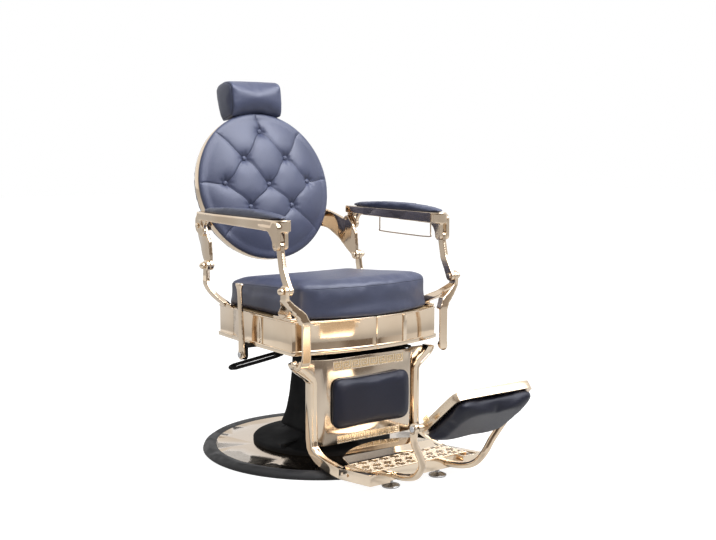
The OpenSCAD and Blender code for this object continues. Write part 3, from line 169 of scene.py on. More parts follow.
skin = {"poreScale": 2.3, "poreShare": 0.35, "groovePaintedShade": 0.22, "creaseScale": 38,
        "creaseStretch": (1, 1, 2.2), "seamCore": 0.3, "seamPaintedShade": 0.8, "seamBump": 0.9, "seamDepth": 0.0012,
        "seamRough": 0.2, "rub": 0.18, "grainDepth": 0.0004, "foldDepth": 0.002, "cloudRough": 0.09}


def hide(name, look):
    f = Finish(name)
    at = f.place()
    cloud = f.noise(look["cloudScale"], detail=3, rough=0.55, at=at)
    cells = f.node("TexVoronoi", {"feature": "DISTANCE_TO_EDGE"}, {"Vector": at, "Scale": look["grainScale"]})
    pores = f.noise(look["grainScale"] * skin["poreScale"], detail=2, rough=0.6, at=at)
    stretched = f.node("Mapping", None, {"Vector": at, "Scale": skin["creaseStretch"]})
    crease = f.noise(skin["creaseScale"], detail=4, rough=0.62, at=stretched)
    seam = abs(f.node("Attribute", {"attribute_name": "seam"}, output="Fac"))
    gap = f.ranged(seam, look["seamHalf"] * skin["seamCore"], look["seamHalf"], 1.0, 0.0)
    colour = f.clouded(cloud, look, 0.32, 0.68)
    # Painted shade: the grooves between the grain cells are darkened towards the pit colour
    colour = f.mixed(f.ranged(cells, 0.0, 0.12, skin["groovePaintedShade"], 0.0), colour, look["pit"])
    # Painted shade: where the seam value is near zero, along seams and pleat creases, the colour goes towards
    # the pit colour
    colour = f.mixed(gap * skin["seamPaintedShade"], colour, look["pit"])
    colour = f.mixed(f.worn(0.5, 0.56) * skin["rub"], colour, look["rubbed"])
    grain = f.ranged(cells, 0.0, 0.2) + pores * skin["poreShare"]
    normal = f.bump(grain, look["grain"], skin["grainDepth"])
    normal = f.bump(crease, look["crease"], skin["foldDepth"], normal)
    normal = f.bump(1 - gap, skin["seamBump"], skin["seamDepth"], normal)
    rough = look["rough"] + f.ranged(cloud, 0.25, 0.75) * skin["cloudRough"] + gap * skin["seamRough"]
    return f.surface(Base_Color=colour, Roughness=rough, Normal=normal, Specular_IOR_Level=look["gloss"],
                     Sheen_Weight=look["sheen"])


goldBase = {"edge": (0.93, 0.84, 0.70), "wear": 0.4, "cloudScale": 7, "streakScale": 55, "rippleScale": 26}
hideBase = {"grainScale": 520, "seamHalf": 0.0009, "sheen": 0.02}
finishes = {
    "metal": plating("champagneGold", {
        **goldBase, "deep": (0.72, 0.57, 0.42), "pale": (0.82, 0.68, 0.52), "rough": 0.07,
        "roughSpread": 0.07, "ripple": 0.12}),
    "soft": plating("softGold", {
        **goldBase, "deep": (0.70, 0.56, 0.41), "pale": (0.79, 0.65, 0.49), "rough": 0.24,
        "roughSpread": 0.08, "ripple": 0.08}),
    # Satin gold is rougher than the polished gold, and its darker colour is painted shade for the darker
    # reflections of the footrest panel and base disc
    "shadedSatin": plating("shadedSatinGold", {
        **goldBase, "deep": (0.52, 0.42, 0.325), "pale": (0.62, 0.51, 0.40), "rough": 0.12,
        "roughSpread": 0.05, "ripple": 0.02, "rippleScale": 20, "cloudScale": 5, "streakScale": 40}),
    # Amber gold for the hinge ribs, and as painted shade for the thin sheets in the gaps of the key reliefs
    "amber": plating("amberGoldAndRecessShade", {
        "deep": (0.50, 0.31, 0.13), "pale": (0.68, 0.46, 0.23), "edge": (0.9, 0.75, 0.5), "wear": 0.5,
        "cloudScale": 40, "streakScale": 120, "rough": 0.24, "roughSpread": 0.14, "rippleScale": 90,
        "ripple": 0.3}),
    "steel": plating("machinedSteel", {
        "deep": (0.42, 0.42, 0.43), "pale": (0.56, 0.56, 0.57), "edge": (0.8, 0.8, 0.8), "wear": 0.5,
        "cloudScale": 20, "streakScale": 160, "rough": 0.22, "roughSpread": 0.14, "rippleScale": 60,
        "ripple": 0.1}),
    "black": paint("blackEnamel", {
        "deep": (0.024, 0.024, 0.025), "pale": (0.04, 0.04, 0.042), "edge": (0.09, 0.09, 0.095), "wear": 0.35,
        "cloudScale": 14, "grainScale": 420, "grain": 0.12, "rough": 0.22, "roughSpread": 0.1, "coat": 0.07,
        "gloss": 0.0}),
    "rubber": paint("blackRubber", {
        "deep": (0.016, 0.016, 0.018), "pale": (0.03, 0.03, 0.032), "edge": (0.07, 0.07, 0.07), "wear": 0.4,
        "cloudScale": 14, "grainScale": 700, "grain": 0.35, "rough": 0.5, "roughSpread": 0.15, "coat": 0.05,
        "gloss": 0.4}),
    "wood": ply("plywood", {
        "deep": (0.30, 0.19, 0.09), "pale": (0.56, 0.42, 0.26), "grainScale": 18, "stretch": (1, 12, 60),
        "grain": 0.3, "rough": 0.55, "roughSpread": 0.2}),
    "leather": hide("slateLeather", {
        **hideBase, "deep": (0.048, 0.057, 0.106), "pale": (0.064, 0.075, 0.134),
        "pit": (0.018, 0.022, 0.045), "rubbed": (0.2, 0.23, 0.36), "cloudScale": 6, "grain": 0.22,
        "crease": 0.12, "rough": 0.35, "gloss": 0.62}),
    "navy": hide("navyLeather", {
        **hideBase, "deep": (0.010, 0.011, 0.024), "pale": (0.015, 0.017, 0.034),
        "pit": (0.004, 0.005, 0.01), "rubbed": (0.07, 0.08, 0.13), "cloudScale": 7, "grain": 0.2,
        "crease": 0.1, "rough": 0.36, "gloss": 0.3}),
}
for node, thing in frame["nodes"].items():
    thing.data.materials.clear()
    thing.data.materials.append(finishes[slotOf[node]])
print("finishes made:", len(finishes))


# Modelling helpers
weldReach = 0.00002
flatAngle = 1.2


def alone(piece):
    if bpy.context.mode != "OBJECT":
        bpy.ops.object.mode_set(mode="OBJECT")
    bpy.ops.object.select_all(action="DESELECT")
    piece.select_set(True)
    bpy.context.view_layer.objects.active = piece


def openMesh(piece, action="SELECT"):
    alone(piece)
    bpy.ops.object.mode_set(mode="EDIT")
    bpy.ops.mesh.select_all(action=action)


def closeMesh():
    bpy.ops.object.mode_set(mode="OBJECT")


def cadCopy(node, name=None):
    piece = bpy.data.objects.new(name or node + "Dressed", frame["nodes"][node].data.copy())
    bpy.context.collection.objects.link(piece)
    piece.data.materials.clear()
    openMesh(piece)
    bpy.ops.mesh.remove_doubles(threshold=weldReach)
    closeMesh()
    return piece


def flatCopy(node):
    # Triangles that lie in one plane become one face
    piece = cadCopy(node)
    openMesh(piece)
    bpy.ops.mesh.dissolve_limited(angle_limit=math.radians(flatAngle))
    closeMesh()
    return piece


def modify(piece, kind, **settings):
    alone(piece)
    modifier = piece.modifiers.new(kind.title(), kind)
    for name, value in settings.items():
        setattr(modifier, name, value)
    bpy.ops.object.modifier_apply(modifier=modifier.name)


def remeshed(piece, voxel):
    modify(piece, "REMESH", mode="VOXEL", voxel_size=voxel, use_smooth_shade=True)


def rounded(piece, width, angle, segments=2):
    modify(piece, "BEVEL", width=width, segments=segments, limit_method="ANGLE",
           angle_limit=math.radians(angle))


def shaded(piece, angle):
    alone(piece)
    bpy.ops.object.shade_smooth_by_angle(angle=math.radians(angle))


def placed(piece, spot, turn):
    alone(piece)
    piece.rotation_euler = [math.radians(part) for part in turn]
    piece.location = spot
    bpy.ops.object.transform_apply(location=True, rotation=True)


def finished(piece, node, finish=None):
    piece.data.materials.clear()
    piece.data.materials.append(finishes[finish or slotOf[node]])
    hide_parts(node)
    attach(piece, bodyOf[node])
    return piece


def fitting(piece, name, finish, body):
    piece.name = name
    piece.data.materials.append(finishes[finish])
    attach(piece, body)


def points(piece):
    flat = np.zeros(len(piece.data.vertices) * 3)
    piece.data.vertices.foreach_get("co", flat)
    return flat.reshape(-1, 3)


def setPoints(piece, places):
    piece.data.vertices.foreach_set("co", np.asarray(places, float).ravel())
    piece.data.update()


def setSeam(piece, distance):
    values = np.zeros(len(piece.data.vertices), np.float32)
    values[:] = distance
    attribute = piece.data.attributes.get("seam") or piece.data.attributes.new("seam", "FLOAT", "POINT")
    attribute.data.foreach_set("value", values)


# Cast pieces are the CAD shape as one skin with soft edges, with its voxel size and smoothing passes
castings = {
    "front_bracket_left": (0.0019, 5), "front_bracket_right": (0.0019, 5),
    "rear_bracket_left": (0.0019, 5), "rear_bracket_right": (0.0019, 5),
    "horn_left": (0.0019, 5), "horn_right": (0.0019, 5), "post_left": (0.0016, 5), "post_right": (0.0016, 5),
    "arm_rail_left": (0.0018, 8), "arm_rail_right": (0.0018, 8), "column_cover": (0.003, 30),
    "swan_neck_left": (0.0016, 8), "swan_neck_right": (0.0016, 8), "pump_lever": (0.0014, 8),
    "recline_lever": (0.0014, 6), "towel_rail": (0.0008, 6),
}
for node, (voxel, passes) in castings.items():
    piece = cadCopy(node)
    remeshed(piece, voxel)
    modify(piece, "SMOOTH", factor=0.5, iterations=passes)
    bpy.ops.object.shade_smooth()
    finished(piece, node)
print("castings made:", len(castings))

# Pressed and machined pieces keep flat faces, with the width of the rounded edge and the angle it needs
pressings = {
    "base_rim": (0.0015, 60), "base_disc": (0, 30), "foot_flange": (0.002, 40), "band_left": (0.0012, 34),
    "band_right": (0.0012, 34), "rear_cover": (0.0012, 34), "band_straps": (0.0008, 34),
    "footrest_panel": (0.0012, 34), "footplate": (0.0015, 34), "foot_glides": (0.0008, 40),
    "tray_frame": (0.0022, 34), "elbow_pins": (0.0006, 34), "rear_pins": (0.0006, 34),
    "tray_pins": (0.0008, 34), "headrest_socket": (0.0015, 34), "headrest_bar": (0.001, 34),
    "lever_bracket": (0.001, 34), "pump_head": (0.001, 34), "chassis": (0.001, 34), "horn_pins": (0.0008, 34),
    "lever_pins": (0.0005, 34),
}
# The base disc and footrest panel take the darker satin gold, which is painted shade; the tray frame takes
# the rougher soft gold
calmer = {"base_disc": "shadedSatin", "footrest_panel": "shadedSatin", "tray_frame": "soft"}
for node, (edge, angle) in pressings.items():
    piece = flatCopy(node)
    if edge:
        rounded(piece, edge, angle)
    shaded(piece, angle)
    finished(piece, node, calmer.get(node))
print("pressings made:", len(pressings))

# Footrest posts with two ridges: the faces that look forward, or up along the foot, sink between them
posts = {"forward": -0.3, "up": 0.6, "aslant": 0.3, "foot": 0.2, "rim": 0.0042, "depth": 0.0016, "wall": 0.8,
         "edge": 0.0011, "edgeAngle": 34, "shade": 40}


def sinks(normal, centre):
    upward = normal.z > posts["up"] and normal.y < posts["aslant"] and abs(normal.x) < posts["aslant"]
    return normal.y < posts["forward"] or (upward and centre.z < posts["foot"])


for node in ("footrest_post_left", "footrest_post_right"):
    piece = flatCopy(node)
    openMesh(piece, "DESELECT")
    closeMesh()
    for face in piece.data.polygons:
        face.select = sinks(face.normal, face.center)
    bpy.ops.object.mode_set(mode="EDIT")
    bpy.ops.mesh.select_mode(type="FACE")
    bpy.ops.mesh.inset(thickness=posts["rim"], depth=0)
    bpy.ops.mesh.inset(thickness=posts["depth"] * posts["wall"], depth=-posts["depth"])
    closeMesh()
    rounded(piece, posts["edge"], posts["edgeAngle"])
    shaded(piece, posts["shade"])
    finished(piece, node)

# Key pattern in low relief: cells of a grid are kept by the tile, then raised
keyTile = ["#######.", "#.....#.", "#.###.#.", "#.#...#.", "#.#####.", "#.......", "########"]
keyPitch = 8
keyEdge = {"from": 0.2, "width": 0.14, "angle": 40}
reliefs = {
    "keyRowTop": {"tiles": (8, 1), "cell": 0.0039, "rise": 0.0015, "ground": 0.00018,
                  "middle": (0, -0.24, 0.2985), "turn": (90, 0, 0)},
    "keyRowLow": {"tiles": (9, 1), "cell": 0.0031, "rise": 0.0013, "ground": 0.000156,
                  "middle": (0, -0.24, 0.0865), "turn": (90, 0, 0)},
    "treadKey": {"tiles": (9, 3), "cell": 0.0046, "rise": 0.0028, "ground": 0.000336,
                 "middle": (0, -0.4215, 0.0569), "turn": (-2.86, 0, 0)},
}


def relief(name, look, kept, rise, finish):
    cell = look["cell"]
    wide, tall = look["tiles"][0] * keyPitch, look["tiles"][1] * keyPitch - 1
    bpy.ops.mesh.primitive_grid_add(x_subdivisions=wide, y_subdivisions=tall, size=1)
    piece = bpy.context.object
    piece.scale = (wide * cell, tall * cell, 1)
    bpy.ops.object.transform_apply(scale=True)
    for face in piece.data.polygons:
        column = int(round(face.center.x / cell + wide / 2 - 0.5))
        lane, line = divmod(int(round(tall / 2 - 0.5 - face.center.y / cell)), keyPitch)
        turned = lane % 2
        if line < len(keyTile):
            tile = keyTile[-1 - line if turned else line]
        else:
            tile = "." * keyPitch
        face.select = tile[(column + turned * keyPitch // 2) % keyPitch] != kept
    bpy.ops.object.mode_set(mode="EDIT")
    bpy.ops.mesh.select_mode(type="FACE")
    bpy.ops.mesh.delete(type="FACE")
    bpy.ops.mesh.select_all(action="SELECT")
    bpy.ops.mesh.extrude_region_move(TRANSFORM_OT_translate={"value": (0, 0, rise)})
    bpy.ops.mesh.select_all(action="SELECT")
    bpy.ops.mesh.normals_make_consistent(inside=False)
    closeMesh()
    if rise > cell * keyEdge["from"]:
        rounded(piece, cell * keyEdge["width"], keyEdge["angle"], segments=1)
    placed(piece, look["middle"], look["turn"])
    fitting(piece, name, finish, "seat")


for name, look in reliefs.items():
    relief(name, look, "#", look["rise"], "soft")
    # Painted shade: the gaps between the key bars get a thin sheet of darker amber gold
    relief(name + "Ground", look, ".", look["ground"], "amber")
print("reliefs made:", len(reliefs))

# Slotted screws where the footplate joins the posts
screwLook = {"radius": 0.0048, "thick": 0.0024, "edge": 0.001056, "edgeAngle": 50, "shade": 35,
             "slot": (0.00912, 0.001248, 0.00192), "slotUp": 0.00144, "out": 0.1932,
             "spots": ((-0.380, 0.038, 25), (-0.402, 0.0395, -40))}
sides = {"Right": -1, "Left": 1}


def screw():
    bpy.ops.mesh.primitive_cylinder_add(vertices=28, radius=screwLook["radius"], depth=screwLook["thick"])
    piece = bpy.context.object
    rounded(piece, screwLook["edge"], screwLook["edgeAngle"], segments=3)
    bpy.ops.mesh.primitive_cube_add(size=1, location=(0, 0, screwLook["slotUp"]))
    slot = bpy.context.object
    slot.scale = screwLook["slot"]
    bpy.ops.object.transform_apply(scale=True, location=True)
    modify(piece, "BOOLEAN", operation="DIFFERENCE", object=slot, solver="EXACT")
    bpy.data.objects.remove(slot)
    return piece


for word, side in sides.items():
    for index, (y, z, turn) in enumerate(screwLook["spots"]):
        piece = screw()
        placed(piece, (side * screwLook["out"], y, z), (turn, side * 90, 0))
        shaded(piece, screwLook["shade"])
        fitting(piece, "plateScrew%s%d" % (word, index), "metal", "seat")

# Ribs beside the leg pad's hinge
ribLook = {"count": 5, "pitch": 0.0046, "size": (0.003, 0.0026, 0.0165), "edge": 0.0008, "edgeAngle": 30,
           "out": 0.1474, "y": -0.6665, "z": 0.2352, "turn": (140.5, 0, 0)}
for word, side in sides.items():
    bpy.ops.mesh.primitive_cube_add(size=1)
    ribs = bpy.context.object
    ribs.scale = ribLook["size"]
    bpy.ops.object.transform_apply(scale=True)
    rounded(ribs, ribLook["edge"], ribLook["edgeAngle"])
    modify(ribs, "ARRAY", count=ribLook["count"], use_relative_offset=False, use_constant_offset=True,
           constant_offset_displace=(0, ribLook["pitch"], 0))
    placed(ribs, (side * ribLook["out"], ribLook["y"], ribLook["z"]), ribLook["turn"])
    fitting(ribs, "hingeRibs" + word, "amber", "leg_pad")
print("small fittings made")

# Soft pieces are sewn covers blown out from inside, every point held within cap of where it starts
coverLook = {"quality": 5, "mass": 0.3, "tension_stiffness": 15, "compression_stiffness": 15,
             "bending_stiffness": 0.6, "use_pressure": True}
coverFrames = 20
leastHold = 0.02


def blown(piece, look, hold):
    start = points(piece)
    if hold:
        held = piece.vertex_groups.new(name="held")
        for index, weight in enumerate(hold(start)):
            if weight > leastHold:
                held.add([index], float(weight), "REPLACE")
    alone(piece)
    cover = piece.modifiers.new("Cloth", "CLOTH")
    for name, value in coverLook.items():
        setattr(cover.settings, name, value)
    cover.settings.uniform_pressure_force = look["pressure"]
    cover.settings.effector_weights.gravity = 0
    cover.collision_settings.use_collision = False
    if hold:
        cover.settings.vertex_group_mass = "held"
    for step in range(coverFrames):
        bpy.context.scene.frame_set(step + 1)
    bpy.ops.object.modifier_apply(modifier="Cloth")
    bpy.context.scene.frame_set(1)
    moved = points(piece) - start
    far = np.linalg.norm(moved, axis=1, keepdims=True)
    setPoints(piece, start + moved * np.minimum(1, look["cap"] / np.maximum(far, 1e-9)))
    piece.vertex_groups.clear()


def swollen(piece, look, hold=None):
    if look["inset"]:
        modify(piece, "DISPLACE", strength=-look["inset"], mid_level=0)
    blown(piece, look, hold)
    modify(piece, "SMOOTH", factor=0.5, iterations=look["calm"])
    modify(piece, "SUBSURF", levels=1, render_levels=1)
    bpy.ops.object.shade_smooth()


seat = {"voxel": 0.006, "pressure": 2.2, "cap": 0.007, "inset": 0.0005, "calm": 18, "rounding": 14,
        "roundFrom": 0.03, "roundOver": 0.03, "held": 0.012, "seamShare": 0.85, "topDrop": 0.0015,
        "topFall": 0.026}
cushion = cadCopy("seat_cushion", "seatCushion")
low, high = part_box("seat_cushion")
remeshed(cushion, seat["voxel"])
edge = cushion.vertex_groups.new(name="edge")
for index, place in enumerate(points(cushion)):
    share = min(max((place[2] - low.z - seat["roundFrom"]) / seat["roundOver"], 0), 1)
    if share > 0:
        edge.add([index], share, "REPLACE")
modify(cushion, "SMOOTH", factor=0.5, iterations=seat["rounding"], vertex_group="edge")
cushion.vertex_groups.clear()
swollen(cushion, seat, lambda places: np.clip((low.z + seat["held"] - places[:, 2]) / seat["held"], 0, 1))
at = points(cushion)
at[:, 2] = np.maximum(at[:, 2], low.z)
setPoints(cushion, at)
# The seam value marks a line round the cushion near its top edge, where the leather paints painted shade
run = np.clip((at[:, 1] - low.y) / (high.y - low.y), 0, 1)
topAt = high.z - seat["topDrop"] - seat["topFall"] * run
setSeam(cushion, at[:, 2] - (low.z + seat["seamShare"] * (topAt - low.z)))
finished(cushion, "seat_cushion")

softPieces = {
    "headrest_pillow": {"name": "headrestPillow", "voxel": 0.004, "pressure": 4, "cap": 0.008,
                        "inset": 0.0015, "calm": 16},
    "arm_pad_left": {"name": "armPadLeft", "voxel": 0.0035, "pressure": 4, "cap": 0.005,
                     "inset": 0.0008, "calm": 16},
    "arm_pad_right": {"name": "armPadRight", "voxel": 0.0035, "pressure": 4, "cap": 0.005,
                      "inset": 0.0008, "calm": 16},
    "calf_pad": {"name": "calfPad", "voxel": 0.004, "pressure": 4, "cap": 0.006, "inset": 0.001, "calm": 16},
    "tray_pad": {"name": "legPad", "voxel": 0.004, "pressure": 6, "cap": 0.011, "inset": 0, "calm": 16},
}
noSeam = 1.0
pillowSeam = {"at": 0.0915, "depth": 0.0022, "reach": 0.0026}


def sewPillow(pad):
    # The cover sinks a little where the two end panels are sewn on, and the seam value set here paints
    # painted shade along that crease
    at = points(pad)
    gap = np.abs(at[:, 0]) - pillowSeam["at"]
    away = at - (at.min(axis=0) + at.max(axis=0)) / 2
    away[:, 0] = 0
    away /= np.maximum(np.linalg.norm(away, axis=1, keepdims=True), 1e-9)
    sink = pillowSeam["depth"] * np.exp(-(gap / pillowSeam["reach"]) ** 2)
    setPoints(pad, at - away * sink[:, None])
    setSeam(pad, gap)


for node, look in softPieces.items():
    pad = cadCopy(node, look["name"])
    remeshed(pad, look["voxel"])
    swollen(pad, look)
    setSeam(pad, noSeam)
    if node == "headrest_pillow":
        sewPillow(pad)
    finished(pad, node)

# Tufted back, worked out in its own frame: across, up the back, and out towards the sitter
tuft = {"centre": (0, 0.301, 0.785), "lean": 14, "radius": 0.2376, "inner": 0.2322, "thick": 0.0415,
        "back": 0.0378, "frontFrom": -0.0215, "stepX": 0.076, "stepY": 0.083, "bow": 0.003, "face": -0.018,
        "crown": 0.030, "crownPower": 3.2, "edge": 0.1, "edgeRise": 0.013, "edgeLip": 0.002, "cell": 0.0042,
        "cellReach": 0.015, "dent": 0.015, "dentReach": 0.027, "dentFall": 1.3, "pit": 0.005,
        "pitReach": 0.0115, "calmRim": 0.16, "calmGain": 1.4, "voxel": 0.005, "pressure": 2, "cap": 0.003,
        "inset": 0, "calm": 2}
lean = math.radians(tuft["lean"])
backAxes = np.array([(1, 0, 0), (0, math.sin(lean), math.cos(lean)), (0, -math.cos(lean), math.sin(lean))])
buttonSpots = [(x * tuft["stepX"], y * tuft["stepY"]) for x, y in (
    (0, 2.1), (-1, 1.02), (1, 1.02), (-2, 0.1), (0, 0), (2, 0.1), (-1, -0.84), (1, -0.84), (0, -1.75))]
middleButton = 4
pleatPairs = [(0, 1), (0, 2), (1, 3), (1, 4), (2, 4), (2, 5), (3, 6), (4, 6), (4, 7), (5, 7), (6, 8), (7, 8)]
pleats = [(buttonSpots[a], buttonSpots[b]) for a, b in pleatPairs]
for index, (x, y) in enumerate(buttonSpots):
    if index != middleButton:
        far = math.hypot(x, y)
        pleats.append(((x, y), (x / far * tuft["radius"], y / far * tuft["radius"])))


def pleatGap(across, up):
    # Signed distance to the nearest pleat, each pleat a little bowed
    best = np.full(len(across), np.inf)
    for number, ((ax, ay), (bx, by)) in enumerate(pleats):
        run = math.hypot(bx - ax, by - ay)
        ux, uy = (bx - ax) / run, (by - ay) / run
        along = (across - ax) * ux + (up - ay) * uy
        side = (up - ay) * ux - (across - ax) * uy
        share = np.clip(along / run, 0, 1)
        side = side - (tuft["bow"] if number % 2 else -tuft["bow"]) * np.sin(2 * np.pi * share)
        over = along - share * run
        gap = np.sign(side + 1e-9) * np.hypot(side, over)
        best = np.where(np.abs(gap) < np.abs(best), gap, best)
    return best


def buttonGap(across, up):
    near = [np.hypot(across - x, up - y) for x, y in buttonSpots]
    return np.min(near, axis=0), np.argmin(near, axis=0)


def tuftHeight(across, up):
    far = np.hypot(across, up) / tuft["radius"]
    pleat, (spot, _) = np.abs(pleatGap(across, up)), buttonGap(across, up)
    flat = 1 - tuft["edge"]
    crown = tuft["crown"] * (1 - np.clip(far / flat, 0, 1) ** tuft["crownPower"])
    dome = tuft["face"] + tuft["edgeRise"] + crown
    calm = np.clip((1 - far) / tuft["calmRim"], 0, 1)
    cell = tuft["cell"] * np.exp(-pleat / tuft["cellReach"]) * calm
    dent = tuft["dent"] * np.exp(-spot / tuft["dentReach"] * tuft["dentFall"])
    dent = dent + tuft["pit"] * np.exp(-(spot / tuft["pitReach"]) ** 2)
    height = dome - np.maximum(cell, 0) - dent * np.clip(calm * tuft["calmGain"], 0, 1)
    roll = np.clip((far - flat) / tuft["edge"], 0, 1)
    low = tuft["face"] + tuft["edgeLip"]
    return np.where(roll > 0, low + (height - low) * np.sqrt(np.clip(1 - roll ** 2, 0, 1)), height)


def toBack(places):
    return (places - np.array(tuft["centre"])) @ backAxes.T


def fromBack(local):
    return local @ backAxes + np.array(tuft["centre"])


bpy.ops.mesh.primitive_cylinder_add(vertices=160, radius=tuft["inner"], depth=tuft["thick"],
                                    end_fill_type="TRIFAN")
back = bpy.context.object
back.name = "backCushion"
remeshed(back, tuft["voxel"])
local = points(back) - (0, 0, tuft["back"])
front = local[:, 2] > tuft["frontFrom"]
far = np.hypot(local[:, 0], local[:, 1])
stretch = tuft["radius"] / far[front].max()
local[front, :2] *= stretch
flatShare = 1 - tuft["edge"]
share = np.clip(np.hypot(local[front, 0], local[front, 1]) / tuft["radius"], 0, 1)
roll = np.clip((share - flatShare) / tuft["edge"], 0, 1)
rolled = (flatShare + tuft["edge"] * np.sin(roll * np.pi / 2)) / np.maximum(share, 1e-6)
local[front, :2] *= np.where(roll > 0, rolled, 1)[:, None]
local[front, 2] = tuftHeight(local[front, 0], local[front, 1])
setPoints(back, fromBack(local))

grip = {"pleat": 0.004, "pleatFull": 1.6, "button": 0.009, "buttonFull": 2, "rimFrom": 0.9, "rimOver": 0.05,
        "behind": 0.001}


def backHold(places):
    local = toBack(places)
    pleat, (spot, _) = np.abs(pleatGap(local[:, 0], local[:, 1])), buttonGap(local[:, 0], local[:, 1])
    share = np.hypot(local[:, 0], local[:, 1]) / tuft["radius"]
    held = np.clip(grip["pleatFull"] - pleat / grip["pleat"], 0, 1)
    held = held + np.clip(grip["buttonFull"] - spot / grip["button"], 0, 1)
    held = held + np.clip((share - grip["rimFrom"]) / grip["rimOver"], 0, 1)
    return np.where(local[:, 2] < tuft["face"] - grip["behind"], 1, np.clip(held, 0, 1))


swollen(back, tuft, backHold)

# Sharp creases along the pleats and small tucks round the buttons
creaseLook = {"depth": 0.0016, "reach": 0.0019, "lip": 0.0008, "lipAt": 0.003, "lipReach": 0.004, "tucks": 7,
              "tuck": 0.0007, "tuckAt": 0.017, "tuckReach": 0.008, "tuckTurn": 1.7, "front": 0.0035,
              "rim": 0.05, "seamCalm": 0.3, "seamFade": 9}
local = toBack(points(back))
front = local[:, 2] > tuft["face"] + creaseLook["front"]
gap = pleatGap(local[:, 0], local[:, 1])
spot, which = buttonGap(local[:, 0], local[:, 1])
calm = np.clip((1 - np.hypot(local[:, 0], local[:, 1]) / tuft["radius"]) / creaseLook["rim"], 0, 1)
fromButton = local[:, :2] - np.array(buttonSpots)[which]
turn = np.arctan2(fromButton[:, 1], fromButton[:, 0])
crease = creaseLook["depth"] * np.exp(-(gap / creaseLook["reach"]) ** 2) * calm
lip = creaseLook["lip"] * np.exp(-((gap - creaseLook["lipAt"]) / creaseLook["lipReach"]) ** 2) * calm
tucks = creaseLook["tuck"] * np.sin(creaseLook["tucks"] * turn + which * creaseLook["tuckTurn"])
tucks = tucks * np.exp(-((spot - creaseLook["tuckAt"]) / creaseLook["tuckReach"]) ** 2)
local[:, 2] = np.where(front, local[:, 2] - crease - lip + tucks, local[:, 2])
setPoints(back, fromBack(local))
# The pleat distance becomes the seam value, so the leather paints painted shade along each pleat crease; the
# lines grow thin near the rim
fade = np.where(calm > creaseLook["seamCalm"], 1, creaseLook["seamFade"])
setSeam(back, np.where(front, gap * fade, noSeam))
finished(back, "back_cushion")

# Spun back shell with a deep straight rim, its profile given as radius and height
shellLook = {"steps": 144, "edge": 0.0012, "edgeAngle": 30, "shade": 40, "profile": [
    (0, -0.0605), (0.19, -0.0605), (0.2175, -0.0585), (0.2295, -0.053), (0.2355, -0.045), (0.2368, -0.036),
    (0.2368, -0.0195), (0.2345, -0.0175), (0.228, -0.0175), (0.22, -0.0205), (0, -0.0215)]}
outline = bpy.data.meshes.new("backShell")
outline.from_pydata([(radius, 0, height) for radius, height in shellLook["profile"]],
                    [(index, index + 1) for index in range(len(shellLook["profile"]) - 1)], [])
shell = bpy.data.objects.new("backShell", outline)
bpy.context.collection.objects.link(shell)
openMesh(shell)
bpy.ops.mesh.spin(steps=shellLook["steps"], angle=2 * math.pi, center=(0, 0, 0), axis=(0, 0, 1))
bpy.ops.mesh.select_all(action="SELECT")
bpy.ops.mesh.remove_doubles(threshold=0.00005)
bpy.ops.mesh.normals_make_consistent(inside=False)
closeMesh()
setPoints(shell, fromBack(points(shell)))
rounded(shell, shellLook["edge"], shellLook["edgeAngle"])
shaded(shell, shellLook["shade"])
finished(shell, "back_shell")

# Covered buttons, each with small tucks of its own, joined as one piece
buttonLook = {"radius": 0.0086, "squash": 0.62, "tuck": 0.0004, "tucks": 5, "lift": 0.0068}
made = []
for index, (x, y) in enumerate(buttonSpots):
    bpy.ops.mesh.primitive_uv_sphere_add(segments=28, ring_count=14, radius=buttonLook["radius"])
    button = bpy.context.object
    bpy.ops.object.mode_set(mode="EDIT")
    bpy.ops.transform.resize(value=(1, 1, buttonLook["squash"]))
    closeMesh()
    at = points(button)
    turn = np.arctan2(at[:, 1], at[:, 0])
    at[:, 2] += buttonLook["tuck"] * np.sin(buttonLook["tucks"] * turn + index) * (at[:, 2] > 0)
    base = tuftHeight(np.array([x]), np.array([y]))[0]
    setPoints(button, fromBack(at + np.array([x, y, base + buttonLook["lift"]])))
    made.append(button)
alone(made[0])
for button in made:
    button.select_set(True)
bpy.ops.object.join()
buttons = bpy.context.object
buttons.name = "backButtons"
bpy.ops.object.shade_smooth()
setSeam(buttons, noSeam)
finished(buttons, "back_buttons")
print("soft pieces made")

# Floor, white to the camera and grey to polished metal
floorLook = {"size": 30, "drop": 0.0005, "colour": (0.36, 0.36, 0.36), "lift": 0.93, "mirrored": 0.4}
bpy.ops.mesh.primitive_plane_add(size=floorLook["size"], location=(0, 0, -floorLook["drop"]))
floor = bpy.context.object
floor.name = "studioFloor"
f = Finish("studioFloor")
mirrored = f.node("LightPath", output="Is Glossy Ray") + f.node("LightPath", output="Is Transmission Ray")
lift = f.node("LightPath", output="Is Camera Ray") * floorLook["lift"] + mirrored * floorLook["mirrored"]
f.surface(Base_Color=floorLook["colour"], Roughness=0.9, Specular_IOR_Level=0.0,
          Emission_Color=f.mixed(lift, (0, 0, 0), (1, 1, 1)), Emission_Strength=1.0)
floor.data.materials.append(f.material)

lamps = {
    "keyLamp": {"spot": (0.6, -0.8, 3.0), "size": 1.6, "power": 96},
    "fillLamp": {"spot": (-2.6, -2.0, 1.7), "size": 2.0, "power": 10},
    "backLamp": {"spot": (-1.9, 2.1, 2.7), "size": 2.4, "power": 12},
}
lampAim = Vector((0, 0, 0.5))
for name, look in lamps.items():
    bpy.ops.object.light_add(type="AREA", location=look["spot"])
    lamp = bpy.context.object
    lamp.name = name
    lamp.data.size, lamp.data.energy, lamp.visible_glossy = look["size"], look["power"], False
    lamp.rotation_euler = (lampAim - Vector(look["spot"])).to_track_quat("-Z", "Y").to_euler()

